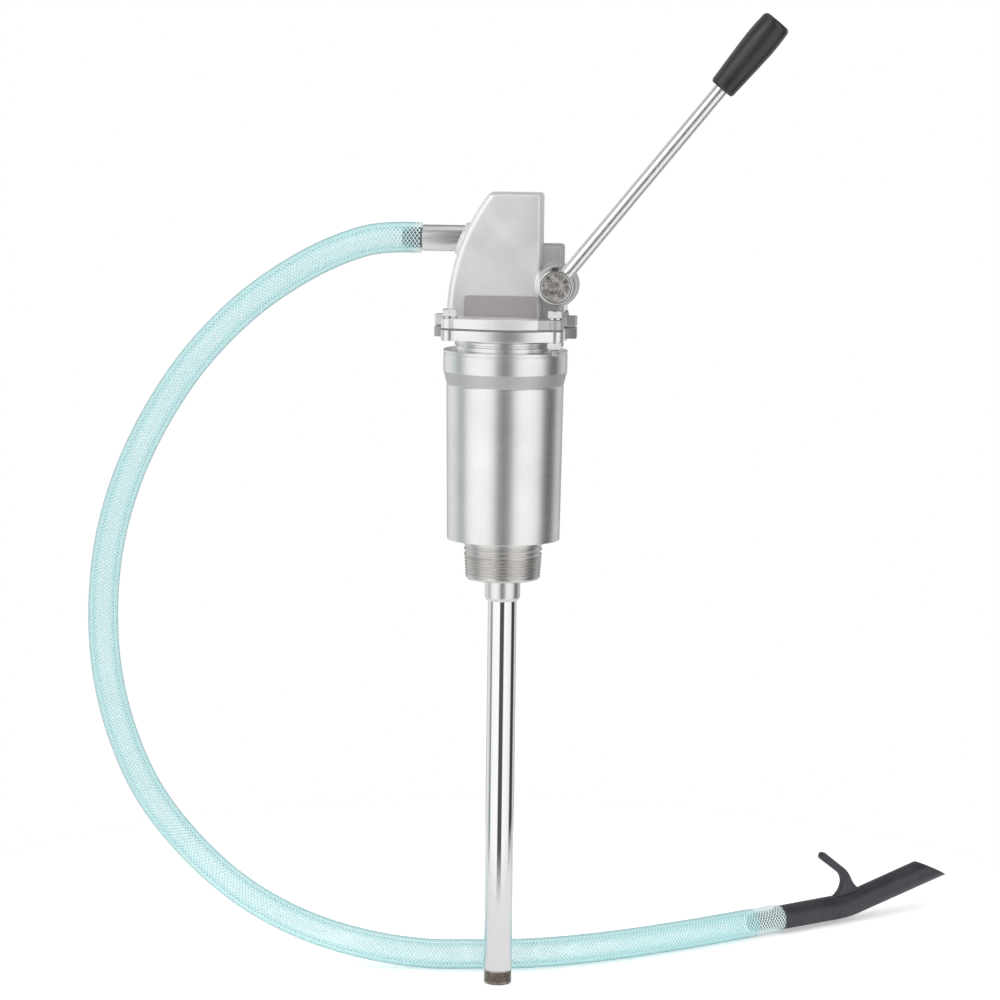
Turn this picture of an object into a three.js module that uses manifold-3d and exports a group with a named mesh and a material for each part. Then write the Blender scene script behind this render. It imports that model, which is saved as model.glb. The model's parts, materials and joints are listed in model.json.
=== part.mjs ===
// Hand lever pump for moving fluids out of a drum, in millimetres.
// +Z runs up the pump's axis, and the origin is the centre of the shoulder above the bung thread.
// The front, where the lever is, faces -Y.  A quadrant gear on the lever shaft drives a rack rod.

import * as THREE from "three";
import { mergeVertices } from "three/addons/utils/BufferGeometryUtils.js";
import Module from "manifold-3d";

const wasm = await Module();
wasm.setup();

// ---------- driving dimensions ----------

const DEG = Math.PI / 180;
const GAP = 0.3; // between pieces that touch
const FACE_GAP = 0.1; // between faces that are pressed together
const FIT = 0.15; // round a piece that fits closely in a hole
const PAST = 1; // how far a cut goes past a face
const FINE_SIDES = 36; // of the larger turned shapes
const SMALL_SIDES = 12; // of the smaller ones

// barrel
const BUNG_R = 29.8; // 2 inch parallel gauge size
const BUNG_TIP_R = 28.4;
const BUNG_LENGTH = 30;
const BARREL_FOOT_R = 42;
const BARREL_BAND_R = 43.5;
const COLLAR_R = 46;
const BAND_Z = 115.5; // a cone band between here and the collar
const COLLAR_Z = 125.5;
const SHOULDER_Z = 141.3;
const NECK_R = 36;
const BORE_R = 32;
const BORE_FLOOR_Z = 10;
const EDGE = 1; // broken off turned edges
const SEAT_R = 14; // of the raised seat round the inlet
const INLET_R = 9;
const SEAT_H = 2.5;

// flanged joint between barrel and head
const FLANGE_R = 45;
const FLANGE_LOW_Z = 150.5;
const JOINT_LOW_Z = 158.4;
const JOINT_HIGH_Z = 159.4;
const FLANGE_TOP_Z = 167;
const BOLT_X = 38.4; // of each bolt from the axis
const BOLT_Y = 38;
const EAR_R = 6.5;
const BOW_REACH = 52; // of the bowed front and back edges
const BOW_R = 80;
const LUG_REACH = 52.6;
const LUG_HALF_WIDTH = 7.5;
const BOLT_SHANK_R = 2.8;
const BOLT_HOLE_R = 3.1;
const BOLT_AF = 10; // across the flats of the hexagon
const BOLT_HEAD_H = 5.2;
const WASHER_R = 5.9;
const WASHER_T = 1.3;
const NUT_H = 5;
const BOLT_TAIL = 5; // of thread past the nut

// guide plate and bush at the top of the bore
const PLATE_R = 38;
const PLATE_T = 3.5;
const PLATE_LOW_Z = JOINT_LOW_Z - PLATE_T;
const WINDOW_R = 6.5;
const WINDOW_CIRCLE_R = 23;
const GUIDE_BUSH_R = 13;
const GUIDE_BUSH_LOW_Z = 143;
const GUIDE_BUSH_TOP_Z = 158;

// head
const HEAD_LEFT_X = -42.2;
const HEAD_RIGHT_X = 26;
const HEAD_TOP_Z = 256.8;
const HEAD_ARC_R = 150; // of the curved side, level with the flange where it starts
const HEAD_ARC_END = 128 * DEG; // well above the top
const HEAD_HALF_DEPTH = 25;
const HEAD_ROUND = 4.2; // along the curved side
const HEAD_EDGE = 1.2; // along the other edges
const HEAD_CORNER = 2.5;
const HEAD_WALL = 4.5;
const BOX_RIGHT_X = 42.1;
const BOX_TOP_Z = 219.4;
const BOX_HALF_DEPTH = 20;
const BOX_WALL = 3;
const BEYOND = 90; // further out than the head reaches
const BELOW_HEAD_Z = 140;
const ABOVE_HEAD_Z = 300;

// nameplate, blank, in a shallow recess
const NAME_LEFT_X = -29.2;
const NAME_RIGHT_X = 24.6;
const NAME_LOW_Z = 167.6;
const NAME_TOP_Z = 182.8;
const NAME_CORNER = 2;
const NAME_PROUD = 0.75;
const NAME_RECESS = 0.1;

// lever shaft, along Y
const PIVOT_X = 39.6;
const PIVOT_Z = 191.8;
const BOSS_R = 15.7;
const BOSS_ROUND = 2.2;
const BOSS_FRONT_Y = -36;
const BOSS_BACK_Y = -21;
const CHAMBER_CASE_R = 12.7;
const CHAMBER_CASE_Y = 21;
const REAR_BOSS_R = 11;
const REAR_BOSS_Y = 27;
const FRONT_BORE_R = 9.8;
const REAR_BORE_R = 9.2;
const SHAFT_R = 7;
const SHAFT_FRONT_Y = -53.4;
const SHAFT_REAR_Y = 21;
const GEAR_HALF_WIDTH = 6;
const GEAR_HUB_HALF_WIDTH = 8.6;
const GEAR_CHAMBER = 9.2; // half of the chamber's width
const CHAMBER_R = 10.8;
const NOTCH_LEFT_X = PIVOT_X - 4.2; // an oil slot at the top of the boss and the hub
const NOTCH_RIGHT_X = PIVOT_X + 1.6;
const NOTCH_LOW_Z = PIVOT_Z + 10.4;
const NOTCH_TOP_Z = PIVOT_Z + 12.6;
const NOTCH_DEPTH = 4;

// inlet valve and its cage
const VALVE_R = 13.4;
const STEM_R = 2.4;
const STEM_LENGTH = 8.6;
const CAGE_R = 21;
const CAGE_INNER_R = 17;
const CAGE_H = 11;
const BRIDGE_H = 2.5;
const BRIDGE_HALF_WIDTH = 3;

// rack and quadrant
const MODULE = 2.5;
const GEAR_TEETH = 27; // on the whole circle
const PITCH_R = (MODULE * GEAR_TEETH) / 2;
const PITCH_X = PIVOT_X - PITCH_R; // the rack's pitch line
const ADDENDUM = 2.2;
const DEDENDUM = 3;
const PRESSURE_ANGLE = 20 * DEG;
const THINNING = 0.1; // off each flank, for backlash
const QUADRANT_TEETH = 5;
const QUADRANT_MARGIN = 4.2 * DEG; // of web past the outer teeth
const QUADRANT_WEB_R = 26;
const QUADRANT_HUB_R = 9.4;
const PIN_R = 2;
const RACK_LOW_Z = PIVOT_Z - 41;
const RACK_HIGH_Z = PIVOT_Z + 7;
const ROD_R = 10;
const ROD_TOP_Z = PIVOT_Z + 10;
const ROD_FOOT_Z = 25;
const ROD_STUD_R = 7.8;
const PISTON_TOP_Z = 46;
const PISTON_LOW_Z = 31;
const PISTON_R = 31.4;
const PISTON_GROOVE_R = 29;
const GROOVE_LOWS = [3, 9]; // above the piston's foot
const GROOVE_H = 3;
const PORT_R = 3.6;
const PISTON_NUT_AF = 22;
const PORT_CIRCLE_R = 17;
const STOP_GROOVE_LOW_Z = 52;
const STOP_GROOVE_TOP_Z = 53.6;
const STOP_GROOVE_R = 8.6;

// lever
const LEVER_ANGLE = 51 * DEG; // above the horizontal
const HUB_R = 12.4;
const HUB_FRONT_Y = -57;
const HUB_BACK_Y = -37;
const HUB_FACE_R = 10.4;
const HUB_FACE_DEPTH = 1.6;
const LEVER_ROD_R = 5;
const ROD_SEAT = 8; // of the lever rod's end, from the pivot
const GRIP_START = 185;
const GRIP_LENGTH = 63;
const ROD_IN_GRIP = 48;
const LEVER_Y = (HUB_FRONT_Y + HUB_BACK_Y) / 2;
const SCREW_R = 2.5;
const HUB_SLOT_R = 10.7; // of the slot's floor, from the shaft's axis

// outlet and suction
const OUTLET_Z = 223;
const OUTLET_R = 9.7;
const OUTLET_END_X = -62.5;
const OUTLET_ROOT = 27; // of the pipe inside the head
const OUTLET_BOSS_R = 11.7;
const OUTLET_BOSS_H = 3; // out of the curved side
const OUTLET_BORE_R = 6;
const SPIGOT_R = 7.35;
const SPIGOT_LENGTH = 15;
const SOCKET_R = 13.2;
const SOCKET_END_Z = -46.6;
const SOCKET_NECK_R = 13;
const SOCKET_NECK_TOP_Z = -16;
const PIPE_R = 10.65;
const PIPE_BORE_R = 8.4;
const PIPE_TOP_Z = -24;
const PIPE_END_Z = -340;
const PIPE_THREAD = 10;

const SOCKET_BORE_R = 8;
const SOCKET_CHAMFER = 1.8;
const THREAD_STEP = 0.35; // from the pipe's surface down to its thread

// hose, from the outlet over the arch and along the floor to the spout
const HOSE_R = 11.6;
const HOSE_BORE_R = 8.4;
const HOSE_STEPS = 34;
const HOSE_SIDES = 10;
const HOSE_FLOOR_Z = -328.2;
const HOSE_ROUTE = [
  [-62.8, 0, 223],
  [-80, 0, 223],
  [-101, 0.5, 220.8],
  [-128, 1.5, 211.5],
  [-159, 3, 195],
  [-196, 6, 168],
  [-235, 9, 127],
  [-267, 13, 78],
  [-288.5, 16, 30],
  [-301.5, 19, -20],
  [-305.5, 21, -72],
  [-302, 23, -118],
  [-290.5, 24, -163],
  [-270, 26, -208],
  [-236, 28, -251],
  [-197, 29, -284],
  [-152, 31, -308],
  [-106, 33, -322],
  [-60, 34, HOSE_FLOOR_Z],
  [-20, 36, HOSE_FLOOR_Z],
  [20, 43, HOSE_FLOOR_Z],
  [58, 59, HOSE_FLOOR_Z],
  [94, 80.5, HOSE_FLOOR_Z],
  [124, 102, HOSE_FLOOR_Z],
  [148, 120.5, HOSE_FLOOR_Z],
  [169, 137.9, HOSE_FLOOR_Z],
  [190.5, 156.2, HOSE_FLOOR_Z],
  [213, 175.6, HOSE_FLOOR_Z],
];

// spout
const SPOUT_YAW = 40.8 * DEG;
const SPOUT_RISE = 11.5 * DEG; // of the part beyond the bend
const TAIL_LENGTH = 28;
const TAIL_R = 7.3;
const SPOUT_R = 9.7;
const SPOUT_MOUTH_R = 10.3;
const SPOUT_STRAIGHT = 64;
const SPOUT_BEND_R = 90;
const SPOUT_END = 100; // from the end of the bend to the tip
const SPOUT_WALL = 2.4;
const SPOUT_SIDES = 32;
const HOOK_HALF_WIDTH = 2.5;
const HOOK_SHIFT = 6; // of the hook's outline, along the spout
const MOUTH_ANGLE = 37 * DEG; // of the cut, from the spout's axis

// ---------- shapes ----------

// A closed geometry as a solid that can be joined and cut.
function solid(geometry) {
  const bare = geometry.clone();
  bare.deleteAttribute("normal");
  bare.deleteAttribute("uv");
  const merged = mergeVertices(bare, 1e-4);
  const triVerts = new Uint32Array(merged.index.array);
  const vertProperties = new Float32Array(merged.attributes.position.array);
  return new wasm.Manifold(new wasm.Mesh({ numProp: 3, vertProperties, triVerts }));
}

// A solid as a flat-shaded geometry.
function geometryOf(made) {
  const mesh = made.getMesh();
  const geometry = new THREE.BufferGeometry();
  const position = new THREE.BufferAttribute(new Float32Array(mesh.vertProperties), 3);
  geometry.setAttribute("position", position);
  geometry.setIndex(new THREE.BufferAttribute(new Uint32Array(mesh.triVerts), 1));
  geometry.computeVertexNormals();
  return geometry;
}

// A solid turned about Z from [radius, height] points that go up the outside.
function turned(points, sides = 28) {
  const profile = points.map(([r, z]) => new THREE.Vector2(r, z));
  if (points[0][0] !== 0) profile.push(profile[0].clone());
  return solid(new THREE.LatheGeometry(profile, sides).rotateX(90 * DEG));
}

// A turned ring or tube between two heights.
function ring(inner, outer, low, high, sides = 28) {
  return turned([[inner, low], [outer, low], [outer, high], [inner, high]], sides);
}

// An upright rod between two heights.
function post(radius, low, high, x = 0, y = 0, sides = 24) {
  const rod = new THREE.CylinderGeometry(radius, radius, high - low, sides).rotateX(90 * DEG);
  return solid(rod.translate(x, y, (low + high) / 2));
}

// A box between two corners.
function block(low, high) {
  const size = high.map((value, i) => value - low[i]);
  const box = new THREE.BoxGeometry(...size);
  return solid(box.translate(...low.map((value, i) => value + size[i] / 2)));
}

// An outline in X and Y, raised between two heights.
function raised(shape, low, high, curveSegments = 12) {
  const depth = high - low;
  const options = { depth, curveSegments, bevelEnabled: false };
  return solid(new THREE.ExtrudeGeometry(shape, options).translate(0, 0, low));
}

// An outline in X and Z, from y = back to y = front, with its edges rounded by edge.
function slab(shape, front, back, edge = 0, curveSegments = 12) {
  const options = { depth: back - front - 2 * edge, curveSegments, bevelEnabled: edge > 0 };
  options.bevelThickness = edge;
  options.bevelSize = edge;
  options.bevelOffset = -edge;
  options.bevelSegments = edge > 2 ? 3 : 1;
  const made = new THREE.ExtrudeGeometry(shape, options).rotateX(90 * DEG);
  return solid(made.translate(0, back - edge, 0));
}

// A solid turned about Z, laid along Y at the pivot: its own +Z becomes -Y, towards the front.
function atPivot(made) {
  return moved(made, new THREE.Matrix4().makeTranslation(PIVOT_X, 0, PIVOT_Z), 90 * DEG);
}

// A solid turned about X and then placed by a matrix.
function moved(made, place, aboutX = 0) {
  const matrix = place.clone().multiply(new THREE.Matrix4().makeRotationX(aboutX));
  return made.transform(Array.from(matrix.elements));
}

// A solid on the Z axis, carried out to a circle round it.
function onCircle(made, radius, angle) {
  return made.translate([radius * Math.cos(angle), radius * Math.sin(angle), 0]);
}

const SIXTHS = [0, 60, 120, 180, 240, 300];

function joined(parts) {
  return parts.slice(1).reduce((all, part) => all.add(part), parts[0]);
}

function cut(body, tools) {
  return tools.reduce((left, tool) => left.subtract(tool), body);
}

function hexagon(acrossFlats) {
  const shape = new THREE.Shape();
  const corner = acrossFlats / 2 / Math.cos(30 * DEG);
  for (let i = 0; i < 6; i += 1) {
    const turn = (i * 60 - 90) * DEG; // a corner faces the front
    const point = [corner * Math.cos(turn), corner * Math.sin(turn)];
    if (i === 0) shape.moveTo(...point);
    else shape.lineTo(...point);
  }
  shape.closePath();
  return shape;
}

function polygon(points) {
  return new THREE.Shape(points.map(([x, y]) => new THREE.Vector2(x, y)));
}

const BOLT_PLACES = [[-1, -1], [1, -1], [1, 1], [-1, 1]].map(([x, y]) => [x * BOLT_X, y * BOLT_Y]);

// The flange between two heights: a disc with bowed front and back edges and four ears.
function flangePlate(low, high) {
  const middle = block([-BOLT_X, -BEYOND, low], [BOLT_X, 0, high]);
  const front = post(BOW_R, low, high, 0, BOW_R - BOW_REACH, 96).intersect(middle);
  const back = post(BOW_R, low, high, 0, BOW_REACH - BOW_R, 96).intersect(middle.translate([0, BEYOND, 0]));
  const parts = [post(FLANGE_R, low, high, 0, 0, 48), front, back];
  for (const [x, y] of BOLT_PLACES) {
    const arm = block([0, -EAR_R, low], [Math.hypot(x, y), EAR_R, high]);
    const turn = new THREE.Matrix4().makeRotationZ(Math.atan2(y, x));
    parts.push(moved(arm, turn), post(EAR_R, low, high, x, y, 16));
  }
  const holes = BOLT_PLACES.map(([x, y]) => post(BOLT_HOLE_R, low - PAST, high + PAST, x, y, SMALL_SIDES));
  return cut(joined(parts), holes);
}

function sideLugs(low, high) {
  const half = LUG_HALF_WIDTH;
  return block([-LUG_REACH, -half, low], [-FLANGE_R + 5, half, high]).add(
    block([FLANGE_R - 5, -half, low], [LUG_REACH, half, high]),
  );
}

// ---------- casing ----------

function barrel() {
  const body = turned([
    [INLET_R, -BUNG_LENGTH],
    [BUNG_TIP_R - 2 * EDGE, -BUNG_LENGTH],
    [BUNG_TIP_R, -BUNG_LENGTH + 2 * EDGE],
    [BUNG_R, -2 * EDGE],
    [BUNG_R, 0],
    [BARREL_FOOT_R - EDGE, 0],
    [BARREL_FOOT_R, EDGE],
    [BARREL_BAND_R, BAND_Z],
    [COLLAR_R, COLLAR_Z],
    [COLLAR_R, SHOULDER_Z - EDGE],
    [COLLAR_R - EDGE, SHOULDER_Z],
    [NECK_R, SHOULDER_Z],
    [NECK_R, FLANGE_LOW_Z + EDGE],
    [BORE_R, FLANGE_LOW_Z + EDGE],
    [BORE_R, BORE_FLOOR_Z],
    [SEAT_R + EDGE, BORE_FLOOR_Z],
    [SEAT_R, BORE_FLOOR_Z + SEAT_H],
    [INLET_R + 2 * EDGE, BORE_FLOOR_Z + SEAT_H],
    [INLET_R, BORE_FLOOR_Z],
  ], FINE_SIDES);
  const flange = flangePlate(FLANGE_LOW_Z, JOINT_LOW_Z).add(sideLugs(FLANGE_LOW_Z + 1, JOINT_LOW_Z));
  return cut(body.add(flange), [
    post(BORE_R, FLANGE_LOW_Z - 3, JOINT_LOW_Z + PAST, 0, 0, FINE_SIDES),
    post(PLATE_R + GAP, PLATE_LOW_Z - GAP / 2, JOINT_LOW_Z + PAST, 0, 0, FINE_SIDES),
    post(SOCKET_NECK_R + GAP, -BUNG_LENGTH - PAST, SOCKET_NECK_TOP_Z + GAP),
  ]);
}

// The curved side's outline, wide open on the other sides.
function curvedOutline(inset, floor) {
  const left = HEAD_LEFT_X + inset;
  const centre = HEAD_LEFT_X + HEAD_ARC_R;
  const radius = HEAD_ARC_R - inset;
  const shape = new THREE.Shape();
  shape.moveTo(left, floor);
  shape.lineTo(left, FLANGE_TOP_Z);
  shape.absarc(centre, FLANGE_TOP_Z, radius, Math.PI, HEAD_ARC_END, true);
  shape.lineTo(BEYOND, ABOVE_HEAD_Z);
  shape.lineTo(BEYOND, floor);
  shape.closePath();
  return shape;
}

// The outline of the top and the right side, wide open on the left.
function squareOutline(right, top, corner, floor, left) {
  const shape = new THREE.Shape();
  shape.moveTo(left, floor);
  shape.lineTo(right, floor);
  shape.lineTo(right, top - corner);
  shape.absarc(right - corner, top - corner, corner, 0, 90 * DEG, false);
  shape.lineTo(left, top);
  shape.closePath();
  return shape;
}

// Everything between two heights.
function layer(low, high) {
  return block([-BEYOND, -BEYOND, low], [BEYOND, BEYOND, high]);
}

// The round housings along the shaft: the front boss, the gear chamber's case and the rear boss.
function shaftHousing() {
  const boss = turned([
    [0, -BOSS_BACK_Y],
    [BOSS_R, -BOSS_BACK_Y],
    [BOSS_R, -BOSS_FRONT_Y - BOSS_ROUND],
    [BOSS_R - BOSS_ROUND / 3, -BOSS_FRONT_Y - BOSS_ROUND / 3],
    [BOSS_R - BOSS_ROUND, -BOSS_FRONT_Y],
    [0, -BOSS_FRONT_Y],
  ], 32);
  const chamberCase = post(CHAMBER_CASE_R, -CHAMBER_CASE_Y, -BOSS_BACK_Y + 1, 0, 0, 32);
  const rearBoss = post(REAR_BOSS_R, -REAR_BOSS_Y, -CHAMBER_CASE_Y + 1, 0, 0, 32);
  return atPivot(joined([boss, chamberCase, rearBoss]));
}

function head() {
  const depth = HEAD_HALF_DEPTH;
  const top = HEAD_TOP_Z;
  const curved = slab(curvedOutline(0, BELOW_HEAD_Z), -depth, depth, HEAD_ROUND, 18);
  const squareShape = squareOutline(HEAD_RIGHT_X, top, HEAD_CORNER, BELOW_HEAD_Z, -BEYOND);
  const square = slab(squareShape, -depth, depth, HEAD_EDGE, 4);
  const above = layer(FLANGE_TOP_Z - PAST, ABOVE_HEAD_Z);
  const boxLeft = HEAD_RIGHT_X - 6;
  const boxShape = squareOutline(BOX_RIGHT_X, BOX_TOP_Z, HEAD_CORNER, FLANGE_TOP_Z - PAST, boxLeft);
  const box = slab(boxShape, -BOX_HALF_DEPTH, BOX_HALF_DEPTH, HEAD_EDGE, 5);
  const flange = flangePlate(JOINT_HIGH_Z, FLANGE_TOP_Z).add(sideLugs(JOINT_HIGH_Z, FLANGE_TOP_Z));
  const cover = curved.intersect(square).intersect(above);
  const outletBoss = alongX(post(OUTLET_BOSS_R, OUTLET_ROOT, BEYOND), OUTLET_Z)
    .intersect(slab(curvedOutline(-OUTLET_BOSS_H, BELOW_HEAD_Z), -depth, depth, 0, 18));
  const outside = joined([cover, outletBoss, box.intersect(above), shaftHousing(), flange]);

  const inner = HEAD_HALF_DEPTH - HEAD_WALL;
  const innerRight = HEAD_RIGHT_X - HEAD_WALL / 2;
  const innerShape = squareOutline(innerRight, top - HEAD_WALL, HEAD_CORNER, BELOW_HEAD_Z, -BEYOND);
  const throat = post(PLATE_R - 2, BELOW_HEAD_Z, ABOVE_HEAD_Z, 0, 0, FINE_SIDES);
  const cavity = slab(curvedOutline(HEAD_WALL, BELOW_HEAD_Z), -inner, inner, 0, 12)
    .intersect(slab(innerShape, -inner, inner, 0, 3))
    .intersect(throat.add(layer(FLANGE_TOP_Z, ABOVE_HEAD_Z)));
  const slotLow = FLANGE_TOP_Z - BOX_WALL;
  const slotHigh = BOX_TOP_Z - BOX_WALL;
  return cut(outside, [
    cavity,
    block([20, -GEAR_CHAMBER, slotLow], [BOX_RIGHT_X - BOX_WALL, GEAR_CHAMBER, slotHigh]),
    atPivot(post(CHAMBER_R, -GEAR_CHAMBER, GEAR_CHAMBER)),
    atPivot(post(REAR_BORE_R, -REAR_BOSS_Y - PAST, 0)),
    atPivot(post(FRONT_BORE_R, 0, -BOSS_FRONT_Y + PAST)),
    alongX(post(OUTLET_R + GAP, OUTLET_ROOT - 6, BEYOND), OUTLET_Z),
    block(
      [NOTCH_LEFT_X, BOSS_FRONT_Y - PAST, NOTCH_LOW_Z],
      [NOTCH_RIGHT_X, BOSS_FRONT_Y + NOTCH_DEPTH, NOTCH_TOP_Z],
    ),
    block(
      [NAME_LEFT_X, -BEYOND, NAME_LOW_Z],
      [NAME_RIGHT_X, -HEAD_HALF_DEPTH + NAME_RECESS, NAME_TOP_Z],
    ),
  ]);
}

// A solid turned about Z, laid along -X at a height: its own +Z becomes -X.
function alongX(made, height) {
  const turn = new THREE.Matrix4().makeRotationY(-90 * DEG);
  return moved(made, new THREE.Matrix4().makeTranslation(0, 0, height).multiply(turn));
}

function nameplate() {
  const radius = NAME_CORNER;
  const left = NAME_LEFT_X + GAP / 2;
  const right = NAME_RIGHT_X - GAP / 2;
  const low = NAME_LOW_Z + GAP / 2;
  const top = NAME_TOP_Z - GAP / 2;
  const shape = new THREE.Shape();
  shape.moveTo(left, low);
  shape.lineTo(right, low);
  shape.lineTo(right, top - radius);
  shape.absarc(right - radius, top - radius, radius, 0, 90 * DEG, false);
  shape.lineTo(left + radius, top);
  shape.absarc(left + radius, top - radius, radius, 90 * DEG, 180 * DEG, false);
  shape.closePath();
  return slab(shape, -HEAD_HALF_DEPTH - NAME_PROUD, -HEAD_HALF_DEPTH + NAME_RECESS / 2, 0, 5);
}

function gasket() {
  const plate = flangePlate(JOINT_LOW_Z + FACE_GAP, JOINT_HIGH_Z - FACE_GAP);
  return plate.subtract(post(BORE_R + 1, JOINT_LOW_Z - PAST, JOINT_HIGH_Z + PAST, 0, 0, 32));
}

// A bolt with a nut, or a shorter one that is screwed into the barrel's ear.
function bolt(x, y, hasNut) {
  const under = FLANGE_TOP_Z + WASHER_T + FACE_GAP;
  const tail = hasNut ? FLANGE_LOW_Z - NUT_H - BOLT_TAIL : FLANGE_LOW_Z + EDGE;
  const headBody = raised(hexagon(BOLT_AF), under, under + BOLT_HEAD_H);
  const crown = turned([
    [0, under],
    [BOLT_AF, under],
    [BOLT_AF, under + BOLT_HEAD_H / 2],
    [BOLT_AF * 0.46, under + BOLT_HEAD_H],
    [0, under + BOLT_HEAD_H],
  ], SMALL_SIDES);
  const shank = turned([
    [0, tail],
    [BOLT_SHANK_R - 0.8, tail],
    [BOLT_SHANK_R, tail + 0.8],
    [BOLT_SHANK_R, under + 1],
    [0, under + 1],
  ], SMALL_SIDES);
  return headBody.intersect(crown).add(shank).translate([x, y, 0]);
}

function nut(x, y) {
  const top = FLANGE_LOW_Z - FACE_GAP;
  const body = raised(hexagon(BOLT_AF), top - NUT_H, top);
  const hole = post(BOLT_SHANK_R + FIT, top - NUT_H - PAST, top + PAST, 0, 0, SMALL_SIDES);
  return body.subtract(hole).translate([x, y, 0]);
}

function washer(x, y) {
  const low = FLANGE_TOP_Z + FACE_GAP / 2;
  return ring(BOLT_SHANK_R + FIT, WASHER_R, low, low + WASHER_T - FACE_GAP / 2, 16).translate([x, y, 0]);
}

// A plate that carries the rod's bush across the top of the bore, with windows for the fluid.
function guidePlate() {
  const plate = ring(GUIDE_BUSH_R + GAP, PLATE_R, PLATE_LOW_Z, JOINT_LOW_Z - FACE_GAP, FINE_SIDES);
  const window = post(WINDOW_R, PLATE_LOW_Z - PAST, JOINT_LOW_Z + PAST, 0, 0, SMALL_SIDES);
  const windows = SIXTHS.map((angle) => onCircle(window, WINDOW_CIRCLE_R, (angle + 30) * DEG));
  return cut(plate, windows);
}

function guideBush() {
  return turned([
    [ROD_R + GAP, GUIDE_BUSH_LOW_Z],
    [GUIDE_BUSH_R - EDGE, GUIDE_BUSH_LOW_Z],
    [GUIDE_BUSH_R, GUIDE_BUSH_LOW_Z + EDGE],
    [GUIDE_BUSH_R, GUIDE_BUSH_TOP_Z],
    [ROD_R + GAP, GUIDE_BUSH_TOP_Z],
  ]);
}

// ---------- suction side ----------

function suctionSocket() {
  return turned([
    [PIPE_R + FIT, SOCKET_END_Z],
    [SOCKET_R - SOCKET_CHAMFER, SOCKET_END_Z],
    [SOCKET_R - SOCKET_CHAMFER / 3, SOCKET_END_Z + SOCKET_CHAMFER / 3],
    [SOCKET_R, SOCKET_END_Z + SOCKET_CHAMFER],
    [SOCKET_R, -BUNG_LENGTH - GAP],
    [SOCKET_NECK_R, -BUNG_LENGTH - GAP],
    [SOCKET_NECK_R, SOCKET_NECK_TOP_Z],
    [SOCKET_BORE_R, SOCKET_NECK_TOP_Z],
    [SOCKET_BORE_R, PIPE_TOP_Z + EDGE],
    [PIPE_R + FIT, PIPE_TOP_Z + EDGE],
  ]);
}

function suctionPipe() {
  return turned([
    [PIPE_BORE_R, PIPE_END_Z],
    [PIPE_R - THREAD_STEP - EDGE, PIPE_END_Z],
    [PIPE_R - THREAD_STEP, PIPE_END_Z + EDGE],
    [PIPE_R - THREAD_STEP, PIPE_END_Z + PIPE_THREAD],
    [PIPE_R, PIPE_END_Z + PIPE_THREAD + THREAD_STEP],
    [PIPE_R, PIPE_TOP_Z],
    [PIPE_BORE_R, PIPE_TOP_Z],
  ]);
}

function inletValve() {
  const seat = BORE_FLOOR_Z + SEAT_H + FACE_GAP;
  return turned([
    [0, seat],
    [VALVE_R, seat],
    [VALVE_R, seat + 2.2],
    [STEM_R, seat + 2.6],
    [STEM_R, seat + STEM_LENGTH],
    [0, seat + STEM_LENGTH],
  ], 20);
}

// A ring with a bridge that guides the inlet valve's stem.
function valveCage() {
  const low = BORE_FLOOR_Z + FACE_GAP;
  const bridgeLow = low + CAGE_H - BRIDGE_H;
  const reach = CAGE_INNER_R + 1.5;
  const parts = [
    ring(CAGE_INNER_R, CAGE_R, low, low + CAGE_H),
    block([-reach, -BRIDGE_HALF_WIDTH, bridgeLow], [reach, BRIDGE_HALF_WIDTH, low + CAGE_H]),
    block([-BRIDGE_HALF_WIDTH, -reach, bridgeLow], [BRIDGE_HALF_WIDTH, reach, low + CAGE_H]),
    post(2 * STEM_R, bridgeLow, low + CAGE_H, 0, 0, 16),
  ];
  return joined(parts).subtract(post(STEM_R + GAP, low, low + CAGE_H + 1, 0, 0, 20));
}

// ---------- piston and rack ----------

// The rack's teeth as an outline in X and Z that is wider than the rod on the left.
function rackOutline() {
  const pitch = Math.PI * MODULE;
  const half = pitch / 4 - THINNING;
  const tipX = PITCH_X + ADDENDUM + GAP;
  const slope = Math.tan(PRESSURE_ANGLE);
  const rootHalf = half + DEDENDUM * slope;
  const tipHalf = half - (tipX - PITCH_X) * slope;
  const rootX = PITCH_X - DEDENDUM;
  const points = [[-BORE_R, 0], [BORE_R, 0], [BORE_R, RACK_LOW_Z], [rootX, RACK_LOW_Z]];
  // a gap between two teeth faces the gear's tooth on the line of centres
  const first = Math.ceil((RACK_LOW_Z - PIVOT_Z) / pitch + 0.2) + 0.5;
  for (let n = first; PIVOT_Z + n * pitch + rootHalf < RACK_HIGH_Z; n += 1) {
    const middle = PIVOT_Z + n * pitch;
    points.push([rootX, middle - rootHalf], [tipX, middle - tipHalf]);
    points.push([tipX, middle + tipHalf], [rootX, middle + rootHalf]);
  }
  points.push([rootX, RACK_HIGH_Z], [BORE_R, RACK_HIGH_Z]);
  points.push([BORE_R, HEAD_TOP_Z], [-BORE_R, HEAD_TOP_Z]);
  return polygon(points);
}

function pistonRod() {
  const rod = turned([
    [0, ROD_FOOT_Z],
    [ROD_STUD_R - 1, ROD_FOOT_Z],
    [ROD_STUD_R, ROD_FOOT_Z + 1],
    [ROD_STUD_R, PISTON_TOP_Z],
    [ROD_R, PISTON_TOP_Z],
    [ROD_R, STOP_GROOVE_LOW_Z],
    [STOP_GROOVE_R, STOP_GROOVE_LOW_Z],
    [STOP_GROOVE_R, STOP_GROOVE_TOP_Z],
    [ROD_R, STOP_GROOVE_TOP_Z],
    [ROD_R, ROD_TOP_Z - 1.5],
    [ROD_R - 1.5, ROD_TOP_Z],
    [0, ROD_TOP_Z],
  ]);
  const tipPlane = block([-BORE_R, -BORE_R, 0], [PITCH_X + ADDENDUM, BORE_R, HEAD_TOP_Z]);
  return rod.intersect(slab(rackOutline(), -BORE_R, BORE_R)).intersect(tipPlane);
}

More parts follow.
